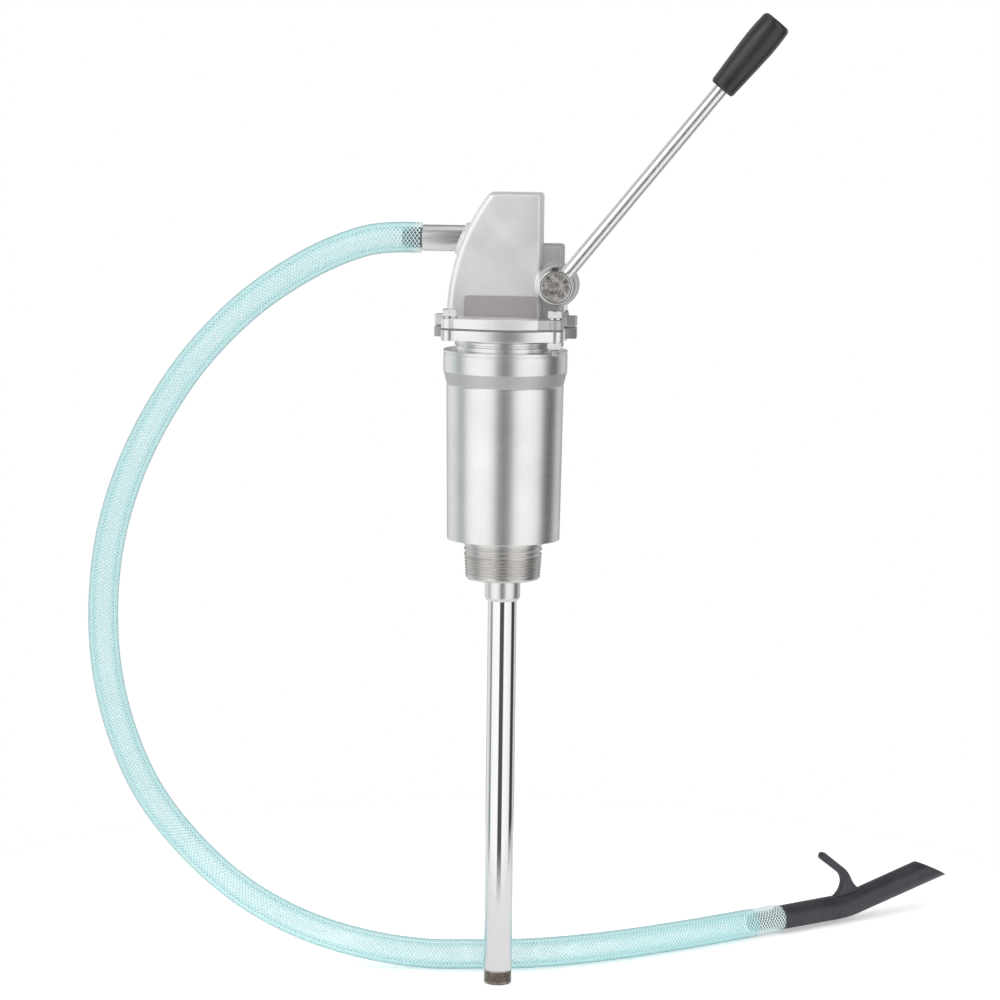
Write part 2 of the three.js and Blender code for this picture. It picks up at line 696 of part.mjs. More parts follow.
function piston() {
  const low = PISTON_LOW_Z;
  const top = PISTON_TOP_Z - 0.2;
  const grooves = GROOVE_LOWS.flatMap((offset) => [
    [PISTON_R, low + offset],
    [PISTON_GROOVE_R, low + offset],
    [PISTON_GROOVE_R, low + offset + GROOVE_H],
    [PISTON_R, low + offset + GROOVE_H],
  ]);
  const body = turned([
    [ROD_STUD_R + FIT, low],
    [PISTON_R - EDGE, low],
    [PISTON_R, low + EDGE],
    ...grooves,
    [PISTON_R, top],
    [ROD_STUD_R + FIT, top],
  ]);
  const ports = SIXTHS.map((angle) =>
    onCircle(post(PORT_R, low - PAST, top + PAST, 0, 0, 10), PORT_CIRCLE_R, angle * DEG),
  );
  return cut(body, ports);
}

function pistonSeal(offset) {
  const low = PISTON_LOW_Z + offset + GAP;
  const high = low + GROOVE_H - 2 * GAP;
  const lip = (BORE_R + PISTON_R) / 2;
  return turned([
    [PISTON_GROOVE_R + FIT, low],
    [PISTON_R - 0.2, low],
    [lip, low + 0.7],
    [lip, high - 0.7],
    [PISTON_R - 0.2, high],
    [PISTON_GROOVE_R + FIT, high],
  ]);
}

function pistonNut() {
  const body = raised(hexagon(PISTON_NUT_AF), ROD_FOOT_Z + 0.8, PISTON_LOW_Z - FACE_GAP);
  return body.subtract(post(ROD_STUD_R + FIT, 0, 60, 0, 0, 28));
}

function stopRing() {
  const whole = ring(STOP_GROOVE_R + 0.2, GUIDE_BUSH_R, STOP_GROOVE_LOW_Z + 0.2, STOP_GROOVE_TOP_Z - 0.2);
  return whole.subtract(block([0, -2, PISTON_TOP_Z], [BORE_R, 2, RACK_LOW_Z]));
}

// ---------- lever ----------

// The quadrant gear's outline about its own centre, with involute flanks.
function quadrantOutline() {
  const base = PITCH_R * Math.cos(PRESSURE_ANGLE);
  const root = PITCH_R - DEDENDUM + 0.2;
  const tip = PITCH_R + ADDENDUM;
  const step = (2 * Math.PI) / GEAR_TEETH;
  const involute = (radius) => {
    const angle = Math.acos(Math.min(1, base / radius));
    return Math.tan(angle) - angle;
  };
  const halfAtPitch = Math.PI / (2 * GEAR_TEETH) - THINNING / PITCH_R;
  const halfAt = (radius) => halfAtPitch + involute(PITCH_R) - involute(radius);
  const radii = [root, base, (base + PITCH_R) / 2, PITCH_R, (PITCH_R + tip) / 2, tip];
  const points = [];
  const at = (radius, angle) => points.push([radius * Math.cos(angle), radius * Math.sin(angle)]);
  const start = Math.PI - QUADRANT_MARGIN;
  const end = Math.PI + (QUADRANT_TEETH - 1) * step + QUADRANT_MARGIN;
  at(QUADRANT_HUB_R - 1, 205 * DEG);
  at(QUADRANT_WEB_R, 192 * DEG);
  at(QUADRANT_WEB_R, start);
  at(root, start);
  for (let tooth = 0; tooth < QUADRANT_TEETH; tooth += 1) {
    const middle = Math.PI + tooth * step;
    radii.forEach((radius) => at(radius, middle - halfAt(Math.max(radius, base))));
    [...radii].reverse().forEach((radius) => at(radius, middle + halfAt(Math.max(radius, base))));
  }
  at(root, end);
  at(QUADRANT_WEB_R, end);
  at(QUADRANT_WEB_R, 222 * DEG);
  at(QUADRANT_HUB_R - 1, 209 * DEG);
  return points;
}

// A cross hole through the shaft and the gear's hub, across the lever's direction.
function crossPin(radius, length) {
  const place = new THREE.Matrix4().makeTranslation(PIVOT_X, 0, PIVOT_Z);
  place.multiply(new THREE.Matrix4().makeRotationY(-LEVER_ANGLE));
  return moved(post(radius, -length / 2, length / 2, 0, 0, SMALL_SIDES), place);
}

function quadrantGear() {
  const flat = slab(polygon(quadrantOutline()), -GEAR_HALF_WIDTH, GEAR_HALF_WIDTH);
  const hub = atPivot(post(QUADRANT_HUB_R, -GEAR_HUB_HALF_WIDTH, GEAR_HUB_HALF_WIDTH));
  const bore = atPivot(post(SHAFT_R + FIT, -20, 20));
  return cut(flat.translate([PIVOT_X, 0, PIVOT_Z]).add(hub), [bore, crossPin(PIN_R + FIT, 60)]);
}

function leverShaft() {
  const shaft = turned([
    [0, -SHAFT_REAR_Y],
    [SHAFT_R - EDGE, -SHAFT_REAR_Y],
    [SHAFT_R, EDGE - SHAFT_REAR_Y],
    [SHAFT_R, -SHAFT_FRONT_Y],
    [0, -SHAFT_FRONT_Y],
  ], 24);
  return atPivot(shaft).subtract(crossPin(PIN_R + FIT, 60));
}

// Lies along the lever, away from the pivot: its own +Z becomes the lever's direction.
function alongLever(made) {
  const place = new THREE.Matrix4().makeTranslation(PIVOT_X, LEVER_Y, PIVOT_Z);
  place.multiply(new THREE.Matrix4().makeRotationY(90 * DEG - LEVER_ANGLE));
  return moved(made, place);
}

function leverHub() {
  const hub = atPivot(turned([
    [0, -HUB_BACK_Y],
    [HUB_R - EDGE, -HUB_BACK_Y],
    [HUB_R, -HUB_BACK_Y + EDGE],
    [HUB_R, -HUB_FRONT_Y - EDGE],
    [HUB_R - EDGE, -HUB_FRONT_Y],
    [HUB_FACE_R, -HUB_FRONT_Y],
    [HUB_FACE_R, -HUB_FRONT_Y - HUB_FACE_DEPTH],
    [0, -HUB_FRONT_Y - HUB_FACE_DEPTH],
  ], 32));
  return cut(hub, [
    atPivot(post(SHAFT_R + FIT, -HUB_BACK_Y - PAST, -SHAFT_FRONT_Y + 0.2)),
    block(
      [NOTCH_LEFT_X, HUB_FRONT_Y - PAST, PIVOT_Z + HUB_SLOT_R],
      [NOTCH_RIGHT_X, HUB_BACK_Y + PAST, PIVOT_Z + HUB_R + PAST],
    ),
    alongLever(post(LEVER_ROD_R + FIT, ROD_SEAT - 0.2, 30)),
    alongLever(post(SCREW_R + FIT, -20, -5, 0, 0, SMALL_SIDES)),
  ]);
}

function leverRod() {
  return alongLever(turned([
    [0, ROD_SEAT],
    [LEVER_ROD_R, ROD_SEAT],
    [LEVER_ROD_R, GRIP_START + ROD_IN_GRIP],
    [0, GRIP_START + ROD_IN_GRIP],
  ], 24));
}

function grip() {
  const end = GRIP_START + GRIP_LENGTH;
  return alongLever(turned([
    [LEVER_ROD_R + FIT, GRIP_START],
    [8.4, GRIP_START],
    [9.4, GRIP_START + 1.2],
    [10.4, GRIP_START + 14],
    [11.4, GRIP_START + 30],
    [11.8, GRIP_START + 42],
    [11.7, GRIP_START + 52],
    [11.2, end - 4],
    [10, end - 1.3],
    [8, end - 0.2],
    [0, end],
    [0, GRIP_START + ROD_IN_GRIP + 0.2],
    [LEVER_ROD_R + FIT, GRIP_START + ROD_IN_GRIP + 0.2],
  ], 24));
}

function setScrew() {
  return alongLever(post(SCREW_R, -HUB_R + 0.6, -SHAFT_R - 0.3, 0, 0, SMALL_SIDES));
}

function rearCap() {
  const face = -REAR_BOSS_Y - 0.2;
  return atPivot(turned([
    [0, face - 3],
    [REAR_BOSS_R - 2 * EDGE, face - 3],
    [REAR_BOSS_R - EDGE, face - 2],
    [REAR_BOSS_R - EDGE, face],
    [REAR_BORE_R - 0.2, face],
    [REAR_BORE_R - 0.2, -SHAFT_REAR_Y - 2],
    [0, -SHAFT_REAR_Y - 2],
  ]));
}

function bush(bore, low, high) {
  return atPivot(ring(SHAFT_R + 0.2, bore - FIT, low, high, 24));
}

// ---------- outlet, hose and spout ----------

function outletPipe() {
  const end = -OUTLET_END_X;
  return alongX(turned([
    [OUTLET_BORE_R, OUTLET_ROOT],
    [OUTLET_R, OUTLET_ROOT],
    [OUTLET_R, end - 0.6],
    [OUTLET_R - 0.6, end],
    [SPIGOT_R, end],
    [SPIGOT_R, end + SPIGOT_LENGTH - EDGE],
    [SPIGOT_R - EDGE, end + SPIGOT_LENGTH],
    [OUTLET_BORE_R, end + SPIGOT_LENGTH],
  ]), OUTLET_Z);
}

function circle(radius, sides) {
  const points = [];
  for (let i = 0; i < sides; i += 1) {
    const angle = (i * 2 * Math.PI) / sides;
    points.push([radius * Math.cos(angle), radius * Math.sin(angle)]);
  }
  return points;
}

function hose() {
  const section = polygon(circle(HOSE_R, HOSE_SIDES));
  section.holes.push(polygon(circle(HOSE_BORE_R, HOSE_SIDES)));
  const points = HOSE_ROUTE.map((point) => new THREE.Vector3(...point));
  const extrudePath = new THREE.CatmullRomCurve3(points, false, "centripetal");
  return solid(new THREE.ExtrudeGeometry(section, { steps: HOSE_STEPS, extrudePath, bevelEnabled: false }));
}

// The spout in its own frame: along +X from the hose's end, with the hook up.
function spout() {
  const bendStart = SPOUT_STRAIGHT;
  const bendLength = SPOUT_BEND_R * SPOUT_RISE;
  const stations = [];
  const sizes = [];
  const put = (along, outer, inner) => {
    const past = Math.max(0, Math.min(along - bendStart, bendLength));
    const angle = past / SPOUT_BEND_R;
    const beyond = Math.max(0, along - bendStart - bendLength);
    const x = Math.min(along, bendStart) + SPOUT_BEND_R * Math.sin(angle) + beyond * Math.cos(angle);
    const z = SPOUT_BEND_R * (1 - Math.cos(angle)) + beyond * Math.sin(angle);
    stations.push([x, z, angle]);
    sizes.push([outer, inner]);
  };
  const total = bendStart + bendLength + SPOUT_END;
  put(-TAIL_LENGTH, TAIL_R - 0.8, TAIL_R - 2);
  put(-TAIL_LENGTH + 1.2, TAIL_R, TAIL_R - 2);
  put(0.3, TAIL_R, TAIL_R - 2);
  put(0.35, SPOUT_R, TAIL_R - 2);
  put(4, SPOUT_R, SPOUT_R - SPOUT_WALL);
  const alongs = [20, 46];
  for (let along = bendStart - 6; along < bendStart + bendLength + 6; along += 6) alongs.push(along);
  alongs.push(110, 140, total, total + 14);
  for (const along of alongs) {
    const share = Math.min(1, along / total);
    const outer = SPOUT_R + (SPOUT_MOUTH_R - SPOUT_R) * share;
    put(along, outer, outer - SPOUT_WALL);
  }
  const outer = swept(stations, sizes.map((size) => size[0]), SPOUT_SIDES);
  const inner = swept([[-60, 0, 0], ...stations, [260, 60, SPOUT_RISE]],
    [TAIL_R - 2, ...sizes.map((size) => size[1]), SPOUT_MOUTH_R - SPOUT_WALL], SPOUT_SIDES);
  const hook = spoutHook();
  const place = new THREE.Matrix4().makeTranslation(...HOSE_ROUTE.at(-1));
  place.multiply(new THREE.Matrix4().makeRotationZ(SPOUT_YAW));
  return moved(cut(outer.add(hook), [inner, mouthCut(total)]), place);
}

// A round tube's solid through stations of [x, z, slope], all in the X-Z plane.
function swept(stations, radii, sides) {
  const position = [];
  const index = [];
  stations.forEach(([x, z, angle], i) => {
    for (let side = 0; side < sides; side += 1) {
      const turn = (side * 2 * Math.PI) / sides;
      const up = radii[i] * Math.cos(turn);
      position.push(x - up * Math.sin(angle), radii[i] * Math.sin(turn), z + up * Math.cos(angle));
    }
  });
  for (let i = 0; i + 1 < stations.length; i += 1) {
    for (let side = 0; side < sides; side += 1) {
      const a = i * sides + side;
      const b = i * sides + ((side + 1) % sides);
      index.push(a, b, a + sides, b, b + sides, a + sides);
    }
  }
  const last = (stations.length - 1) * sides;
  for (let side = 1; side + 1 < sides; side += 1) {
    index.push(0, side + 1, side, last, last + side, last + side + 1);
  }
  const geometry = new THREE.BufferGeometry();
  geometry.setAttribute("position", new THREE.Float32BufferAttribute(position, 3));
  geometry.setIndex(index.map((_, k) => index[k - (k % 3) + [0, 2, 1][k % 3]]));
  return solid(geometry);
}

// The half space above the slanting cut at the mouth, which leaves the longer side below.
function mouthCut(total) {
  const straight = total - SPOUT_STRAIGHT - SPOUT_BEND_R * SPOUT_RISE;
  const x = SPOUT_STRAIGHT + SPOUT_BEND_R * Math.sin(SPOUT_RISE) + straight * Math.cos(SPOUT_RISE);
  const z = SPOUT_BEND_R * (1 - Math.cos(SPOUT_RISE)) + straight * Math.sin(SPOUT_RISE);
  const place = new THREE.Matrix4().makeTranslation(x, 0, z);
  place.multiply(new THREE.Matrix4().makeRotationY(-SPOUT_RISE));
  place.multiply(new THREE.Matrix4().makeTranslation(0, 0, -SPOUT_MOUTH_R));
  place.multiply(new THREE.Matrix4().makeRotationY(-(90 * DEG - MOUTH_ANGLE)));
  return moved(block([0, -40, -60], [80, 40, 80]), place);
}

// A finger on a thin web, for hanging the spout on a rim.
function spoutHook() {
  return slab(hookOutline(), -HOOK_HALF_WIDTH, HOOK_HALF_WIDTH, 0.8, 6).translate([HOOK_SHIFT, 0, 0]);
}

// The hook's outline: the finger leans back over the tube and its web runs out along it.
function hookOutline() {
  const shape = new THREE.Shape();
  shape.moveTo(51, 4);
  shape.lineTo(53, 9.4);
  shape.quadraticCurveTo(61, 14, 61.5, 21);
  shape.quadraticCurveTo(61.5, 26, 57, 29.5);
  shape.lineTo(38.5, 42.5);
  shape.absarc(40.2, 45, 3, 236 * DEG, 56 * DEG, true);
  shape.lineTo(64, 31.5);
  shape.quadraticCurveTo(68, 28.5, 71.5, 22);
  shape.quadraticCurveTo(76, 13.5, 84, 12.5);
  shape.lineTo(86, 5);
  shape.closePath();
  return shape;
}

// ---------- assembly ----------

const MATERIALS = {
  cast: { color: 0xc9c9c4, roughness: 0.45, metalness: 0.9 },
  machined: { color: 0xcfcfcc, roughness: 0.3, metalness: 1 },
  chrome: { color: 0xe4e4e4, roughness: 0.08, metalness: 1 },
  zinc: { color: 0xd2d2cc, roughness: 0.3, metalness: 1 },
  steel: { color: 0xaaaaa8, roughness: 0.35, metalness: 1 },
  bronze: { color: 0xb08a4a, roughness: 0.4, metalness: 0.9 },
  plate: { color: 0xa8a3a3, roughness: 0.5, metalness: 0.6 },
  rubber: { color: 0x2a2a2a, roughness: 0.8, metalness: 0 },
  gasket: { color: 0x4a4a48, roughness: 0.85, metalness: 0 },
  grip: { color: 0x3c3a3e, roughness: 0.55, metalness: 0 },
  spout: { color: 0x4b4650, roughness: 0.45, metalness: 0 },
  hose: { color: 0xbee1e1, roughness: 0.3, metalness: 0 },
};

const pump = new THREE.Group();

function add(name, made, finish) {
  const mesh = new THREE.Mesh(geometryOf(made), new THREE.MeshStandardMaterial(MATERIALS[finish]));
  mesh.name = name;
  pump.add(mesh);
}

add("barrel", barrel(), "machined");
add("pump_head", head(), "cast");
add("flange_gasket", gasket(), "gasket");
BOLT_PLACES.forEach(([x, y], i) => {
  const hasNut = i > 0; // the front left bolt is screwed into its ear
  add(`flange_bolt_${i + 1}`, bolt(x, y, hasNut), "zinc");
  add(`flange_washer_${i + 1}`, washer(x, y), "zinc");
  if (hasNut) add(`flange_nut_${i + 1}`, nut(x, y), "zinc");
});
add("nameplate", nameplate(), "plate");
add("guide_plate", guidePlate(), "steel");
add("guide_bush", guideBush(), "bronze");
add("suction_socket", suctionSocket(), "machined");
add("suction_pipe", suctionPipe(), "chrome");
add("inlet_valve", inletValve(), "bronze");
add("valve_cage", valveCage(), "bronze");
add("shaft_bush_front", bush(FRONT_BORE_R, GEAR_CHAMBER + 0.2, 30.5), "bronze");
add("shaft_bush_rear", bush(REAR_BORE_R, -SHAFT_REAR_Y, -GEAR_CHAMBER - 0.2), "bronze");
add("shaft_seal", bush(FRONT_BORE_R, 30.8, -BOSS_FRONT_Y - 0.2), "rubber");
add("rear_cap", rearCap(), "machined");
add("lever_shaft", leverShaft(), "steel");
add("quadrant_gear", quadrantGear(), "steel");
add("gear_pin", crossPin(PIN_R, 2 * QUADRANT_HUB_R - 1), "steel");
add("lever_hub", leverHub(), "cast");
add("hub_set_screw", setScrew(), "steel");
add("lever_rod", leverRod(), "chrome");
add("lever_grip", grip(), "grip");
add("piston_rod", pistonRod(), "steel");
add("piston", piston(), "machined");
add("piston_seal_lower", pistonSeal(GROOVE_LOWS[0]), "rubber");
add("piston_seal_upper", pistonSeal(GROOVE_LOWS[1]), "rubber");
add("piston_valve", ring(ROD_R + 0.4, 22.5, PISTON_TOP_Z, PISTON_TOP_Z + 2, FINE_SIDES), "bronze");
add("piston_nut", pistonNut(), "steel");
add("valve_stop_ring", stopRing(), "steel");
add("outlet_pipe", outletPipe(), "cast");
add("hose", hose(), "hose");
add("spout", spout(), "spout");

export default pump;
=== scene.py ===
import json
import math

import bmesh
import bpy
from mathutils import Matrix, Vector


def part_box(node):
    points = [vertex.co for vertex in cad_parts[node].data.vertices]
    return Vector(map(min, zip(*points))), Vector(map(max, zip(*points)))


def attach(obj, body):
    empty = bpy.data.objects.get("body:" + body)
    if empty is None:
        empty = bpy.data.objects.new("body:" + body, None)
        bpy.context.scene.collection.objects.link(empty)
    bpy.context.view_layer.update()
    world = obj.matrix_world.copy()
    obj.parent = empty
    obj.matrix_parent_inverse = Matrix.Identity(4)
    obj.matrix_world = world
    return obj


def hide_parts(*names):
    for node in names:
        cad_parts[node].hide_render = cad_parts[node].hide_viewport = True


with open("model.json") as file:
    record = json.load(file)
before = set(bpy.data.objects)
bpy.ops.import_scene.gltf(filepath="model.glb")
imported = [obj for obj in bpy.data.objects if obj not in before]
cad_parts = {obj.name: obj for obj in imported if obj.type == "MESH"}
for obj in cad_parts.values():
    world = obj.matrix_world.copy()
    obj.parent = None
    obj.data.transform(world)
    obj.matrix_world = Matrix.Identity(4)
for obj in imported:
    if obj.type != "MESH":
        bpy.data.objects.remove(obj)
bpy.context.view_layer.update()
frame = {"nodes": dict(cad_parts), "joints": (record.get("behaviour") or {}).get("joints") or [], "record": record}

# Radii, profiles, pitches and depths are in millimetres, and MM turns them into the frame's metres.
# Places in the frame, such as the camera's, the hose's route and a material's bands, are in metres.
MM = 0.001
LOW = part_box("suction_pipe")[0].z  # the floor, which the suction pipe stands on
JOINTS = {joint["name"]: joint for joint in frame["joints"]}
PIVOT = Vector(JOINTS["lever_pivot"]["pos_m"])
NODES = frame["nodes"]
scene = bpy.context.scene

# ---------- camera ----------

CAMERA_AZIMUTH = math.radians(4.0)  # towards +X from straight in front
CAMERA_ELEVATION = math.radians(7.5)
CAMERA_ROLL = math.radians(0.72)
CAMERA_DISTANCE = 2.607
CAMERA_AIM = Vector((-0.0027, 0, 0.0287))
LENS_MM = 126
SENSOR_MM = 36
CLIP_END = 50


def make_camera():
    data = bpy.data.cameras.new("camera")
    data.lens = LENS_MM
    data.sensor_width = SENSOR_MM
    data.clip_end = CLIP_END
    camera = bpy.data.objects.new("camera", data)
    scene.collection.objects.link(camera)
    flat = math.cos(CAMERA_ELEVATION)
    sideways, forwards = math.sin(CAMERA_AZIMUTH), math.cos(CAMERA_AZIMUTH)
    back = Vector((sideways * flat, -forwards * flat, math.sin(CAMERA_ELEVATION)))
    turn = back.to_track_quat("Z", "Y").to_matrix().to_4x4()
    place = Matrix.Translation(CAMERA_AIM + back * CAMERA_DISTANCE)
    camera.matrix_world = place @ turn @ Matrix.Rotation(CAMERA_ROLL, 4, "Z")
    scene.camera = camera


make_camera()

# ---------- mesh helpers ----------

SMOOTH_ANGLE = 35  # degrees; sharper edges stay sharp
MERGE_WITHIN = 2e-6
SLIVER = 1e-7
TINY = 1e-6
NEARLY_STRAIGHT = math.radians(4)
LONGEST_CUT = 0.45  # the share of a side that a rounded corner may take
DEGREES_PER_STEP = 18
HOLE_SIDES = 40
CASTING_ANGLE = 60


def add_mesh(name, points, faces, smooth_angle=SMOOTH_ANGLE):
    """A new object from points in metres, with edges sharper than the angle left sharp."""
    mesh = bpy.data.meshes.new(name)
    mesh.from_pydata([tuple(p) for p in points], [], faces)
    mesh.update()
    made = bpy.data.objects.new(name, mesh)
    scene.collection.objects.link(made)
    tidy(made, smooth_angle)
    return made


def tidy(made, smooth_angle=SMOOTH_ANGLE):
    """Merges doubled points, turns all faces outwards and shades smooth, apart from sharp edges."""
    shape = bmesh.new()
    shape.from_mesh(made.data)
    bmesh.ops.remove_doubles(shape, verts=shape.verts, dist=MERGE_WITHIN)
    bmesh.ops.dissolve_degenerate(shape, edges=shape.edges, dist=SLIVER)
    bmesh.ops.recalc_face_normals(shape, faces=shape.faces)
    shape.to_mesh(made.data)
    shape.free()
    made.data.shade_smooth()
    made.data.set_sharp_from_angle(angle=math.radians(smooth_angle))


def corner_rounded(points, radius):
    """A profile of (r, z) or (r, z, radius) in mm with its corners rounded."""
    out = []
    count = len(points)
    for i, point in enumerate(points):
        here = Vector(point[:2])
        size = point[2] if len(point) > 2 else radius
        before = Vector(points[i - 1][:2]) - here
        after = Vector(points[(i + 1) % count][:2]) - here
        on_axis = abs(here.x) < TINY
        if size <= 0 or on_axis or before.length < TINY or after.length < TINY:
            out.append(tuple(here))
            continue
        turn = math.pi - before.angle(after)
        if turn < NEARLY_STRAIGHT:
            out.append(tuple(here))
            continue
        cut = min(size * math.tan(turn / 2), LONGEST_CUT * before.length, LONGEST_CUT * after.length)
        start = here + before.normalized() * cut
        end = here + after.normalized() * cut
        steps = max(2, round(math.degrees(turn) / DEGREES_PER_STEP))
        for k in range(steps + 1):
            t = k / steps
            mixed = start * (1 - t) ** 2 + here * 2 * t * (1 - t) + end * t * t
            out.append(tuple(mixed))
    return out


def placed(points, place):
    return [place @ Vector(p) for p in points]


def turned(name, profile, place=None, sides=96, radius=0.4, wave=None, smooth_angle=SMOOTH_ANGLE):
    """A turned piece from a profile in mm that goes up the outside and comes back down the inside.

    radius rounds the corners that have none of their own. wave(r, z, turn) gives what is added to the
    radius at a height, as a thread needs."""
    place = place or Matrix.Identity(4)
    ring = corner_rounded(profile, radius) if radius else [p[:2] for p in profile]
    points, faces, rows = [], [], []
    for r, z in ring:
        if r < TINY:
            rows.append([len(points)] * sides)
            points.append((0, 0, z * MM))
            continue
        rows.append(list(range(len(points), len(points) + sides)))
        for side in range(sides):
            turn = 2 * math.pi * side / sides
            reach = (r + (wave(r, z, turn) if wave else 0)) * MM
            points.append((reach * math.cos(turn), reach * math.sin(turn), z * MM))
    pairs = list(zip(rows, rows[1:]))
    if ring[0][0] > TINY:
        pairs.append((rows[-1], rows[0]))
    for low, high in pairs:
        for side in range(sides):
            nxt = (side + 1) % sides
            face = [low[side], low[nxt], high[nxt], high[side]]
            face = [v for k, v in enumerate(face) if v not in face[:k]]
            if len(face) > 2:
                faces.append(face)
    return add_mesh(name, placed(points, place), faces, smooth_angle)


def apply_modifiers(made):
    """Bakes the piece's modifiers into its own mesh."""
    graph = bpy.context.evaluated_depsgraph_get()
    mesh = bpy.data.meshes.new_from_object(made.evaluated_get(graph))
    made.modifiers.clear()
    made.data = mesh
    return made


def remove(made):
    bpy.data.objects.remove(made)


def boolean(made, tool, operation):
    """Joins, cuts or intersects exactly, and removes the tool."""
    step = made.modifiers.new("boolean", "BOOLEAN")
    step.operation = operation
    step.solver = "EXACT"
    step.object = tool
    bpy.context.view_layer.update()
    apply_modifiers(made)
    remove(tool)
    return made


def remeshed(made, voxel_mm, smoothing, share):
    """One even skin over the piece, with softly rounded edges as a casting has, thinned to a share."""
    step = made.modifiers.new("remesh", "REMESH")
    step.mode = "VOXEL"
    step.voxel_size = voxel_mm * MM
    soften = made.modifiers.new("soften", "SMOOTH")
    soften.factor = 0.5
    soften.iterations = smoothing
    lighter = made.modifiers.new("lighter", "DECIMATE")
    lighter.ratio = share
    bpy.context.view_layer.update()
    apply_modifiers(made)
    tidy(made, CASTING_ANGLE)
    return made


def copy_of(node, name):
    made = bpy.data.objects.new(name, NODES[node].data.copy())
    scene.collection.objects.link(made)
    return made


def plate(name, outline, holes, low, high, edge):
    """A flat plate in mm with rounded edges, from an outline and round holes (x, y, r)."""
    curve = bpy.data.curves.new(name, "CURVE")
    curve.dimensions = "2D"
    curve.fill_mode = "BOTH"
    curve.extrude = (high - low) / 2 * MM - edge * MM
    curve.bevel_depth = edge * MM
    curve.bevel_resolution = 2
    curve.offset = -edge * MM
    rims = [outline]
    for x, y, r in holes:
        turns = [2 * math.pi * k / HOLE_SIDES for k in range(HOLE_SIDES)]
        rims.append([(x + r * math.cos(-t), y + r * math.sin(-t)) for t in turns])
    for rim in rims:
        spline = curve.splines.new("POLY")
        spline.points.add(len(rim) - 1)
        spline.use_cyclic_u = True
        for point, (x, y) in zip(spline.points, rim):
            point.co = (x * MM, y * MM, 0, 1)
    flat = bpy.data.objects.new(name + "_curve", curve)
    scene.collection.objects.link(flat)
    bpy.context.view_layer.update()
    graph = bpy.context.evaluated_depsgraph_get()
    mesh = bpy.data.meshes.new_from_object(flat.evaluated_get(graph))
    mesh.transform(Matrix.Translation((0, 0, (low + high) / 2 * MM)))
    remove(flat)
    mesh.name = name
    made = bpy.data.objects.new(name, mesh)
    scene.collection.objects.link(made)
    tidy(made)
    return made


# ---------- materials ----------


class Shader:
    """A node material that is put together by short calls."""

    def __init__(self, name):
        self.material = bpy.data.materials.new(name)
        self.material.use_nodes = True
        self.tree = self.material.node_tree
        self.surface = self.tree.nodes["Principled BSDF"]

    def node(self, kind, **settings):
        made = self.tree.nodes.new("ShaderNode" + kind)
        for key, value in settings.items():
            setattr(made, key, value)
        return made

    def link(self, output, target):
        self.tree.links.new(output, target)

    def set(self, **values):
        for key, value in values.items():
            self.surface.inputs[key.replace("_", " ")].default_value = value

    def place(self, scale=(1, 1, 1), turn=(0, 0, 0)):
        """Object coordinates in metres, scaled along each axis."""
        source = self.node("TexCoord")
        mapping = self.node("Mapping")
        mapping.inputs["Scale"].default_value = scale
        mapping.inputs["Rotation"].default_value = turn
        self.link(source.outputs["Object"], mapping.inputs["Vector"])
        return mapping.outputs["Vector"]

    def noise(self, where, scale, detail=3, roughness=0.55):
        made = self.node("TexNoise")
        made.inputs["Scale"].default_value = scale
        made.inputs["Detail"].default_value = detail
        made.inputs["Roughness"].default_value = roughness
        self.link(where, made.inputs["Vector"])
        return made.outputs["Fac"]

    def ramp(self, factor, stops):
        made = self.node("ValToRGB")
        elements = made.color_ramp.elements
        while len(elements) < len(stops):
            elements.new(0.5)
        for element, (position, colour) in zip(elements, stops):
            element.position = position
            element.color = colour if len(colour) == 4 else (*colour, 1)
        self.link(factor, made.inputs["Fac"])
        return made.outputs["Color"]

    def spread(self, factor, low, high, start=0.3, end=0.7):
        made = self.node("MapRange")
        made.inputs["From Min"].default_value = start
        made.inputs["From Max"].default_value = end
        made.inputs["To Min"].default_value = low
        made.inputs["To Max"].default_value = high
        self.link(factor, made.inputs["Value"])
        return made.outputs["Result"]

    def bump(self, height, strength, distance_mm, base=None):
        made = self.node("Bump")
        made.inputs["Strength"].default_value = strength
        made.inputs["Distance"].default_value = distance_mm * MM
        self.link(height, made.inputs["Height"])
        if base:
            self.link(base, made.inputs["Normal"])
        return made.outputs["Normal"]

    def maths(self, operation, first, second):
        made = self.node("Math", operation=operation)
        for socket, value in zip(made.inputs, (first, second)):
            if isinstance(value, (int, float)):
                socket.default_value = value
            else:
                self.link(value, socket)
        return made.outputs[0]

    def between(self, low, high, blur=0.0003):
        """1 between two heights of the frame and 0 elsewhere."""
        split = self.node("SeparateXYZ")
        self.link(self.place(), split.inputs["Vector"])
        height = split.outputs["Z"]
        above = self.spread(height, 0, 1, low - blur, low + blur)
        below = self.spread(height, 1, 0, high - blur, high + blur)
        return self.maths("MULTIPLY", above, below)

    def past(self, start, blur=0.0006):
        """0 up to an X of the frame and 1 beyond it."""
        split = self.node("SeparateXYZ")
        self.link(self.place(), split.inputs["Vector"])
        return self.spread(split.outputs["X"], 0, 1, start - blur, start + blur)

    def beyond(self, point, reach, inside, blur=0.001):
        """1 further than a reach from a point of the frame, and a smaller share inside it."""
        away = self.node("VectorMath", operation="DISTANCE")
        self.link(self.place(), away.inputs[0])
        away.inputs[1].default_value = point
        return self.spread(away.outputs["Value"], inside, 1, reach - blur, reach + blur)

    def mixed(self, factor, first, second):
        made = self.node("Mix", data_type="RGBA")
        self.link(factor, made.inputs["Factor"])
        for key, value in (("A", first), ("B", second)):
            socket = [each for each in made.inputs if each.name == key and each.type == "RGBA"][0]
            if isinstance(value, tuple):
                socket.default_value = (*value, 1)
            else:
                self.link(value, socket)
        return [each for each in made.outputs if each.type == "RGBA"][0]

    def to(self, output, key):
        self.link(output, self.surface.inputs[key])


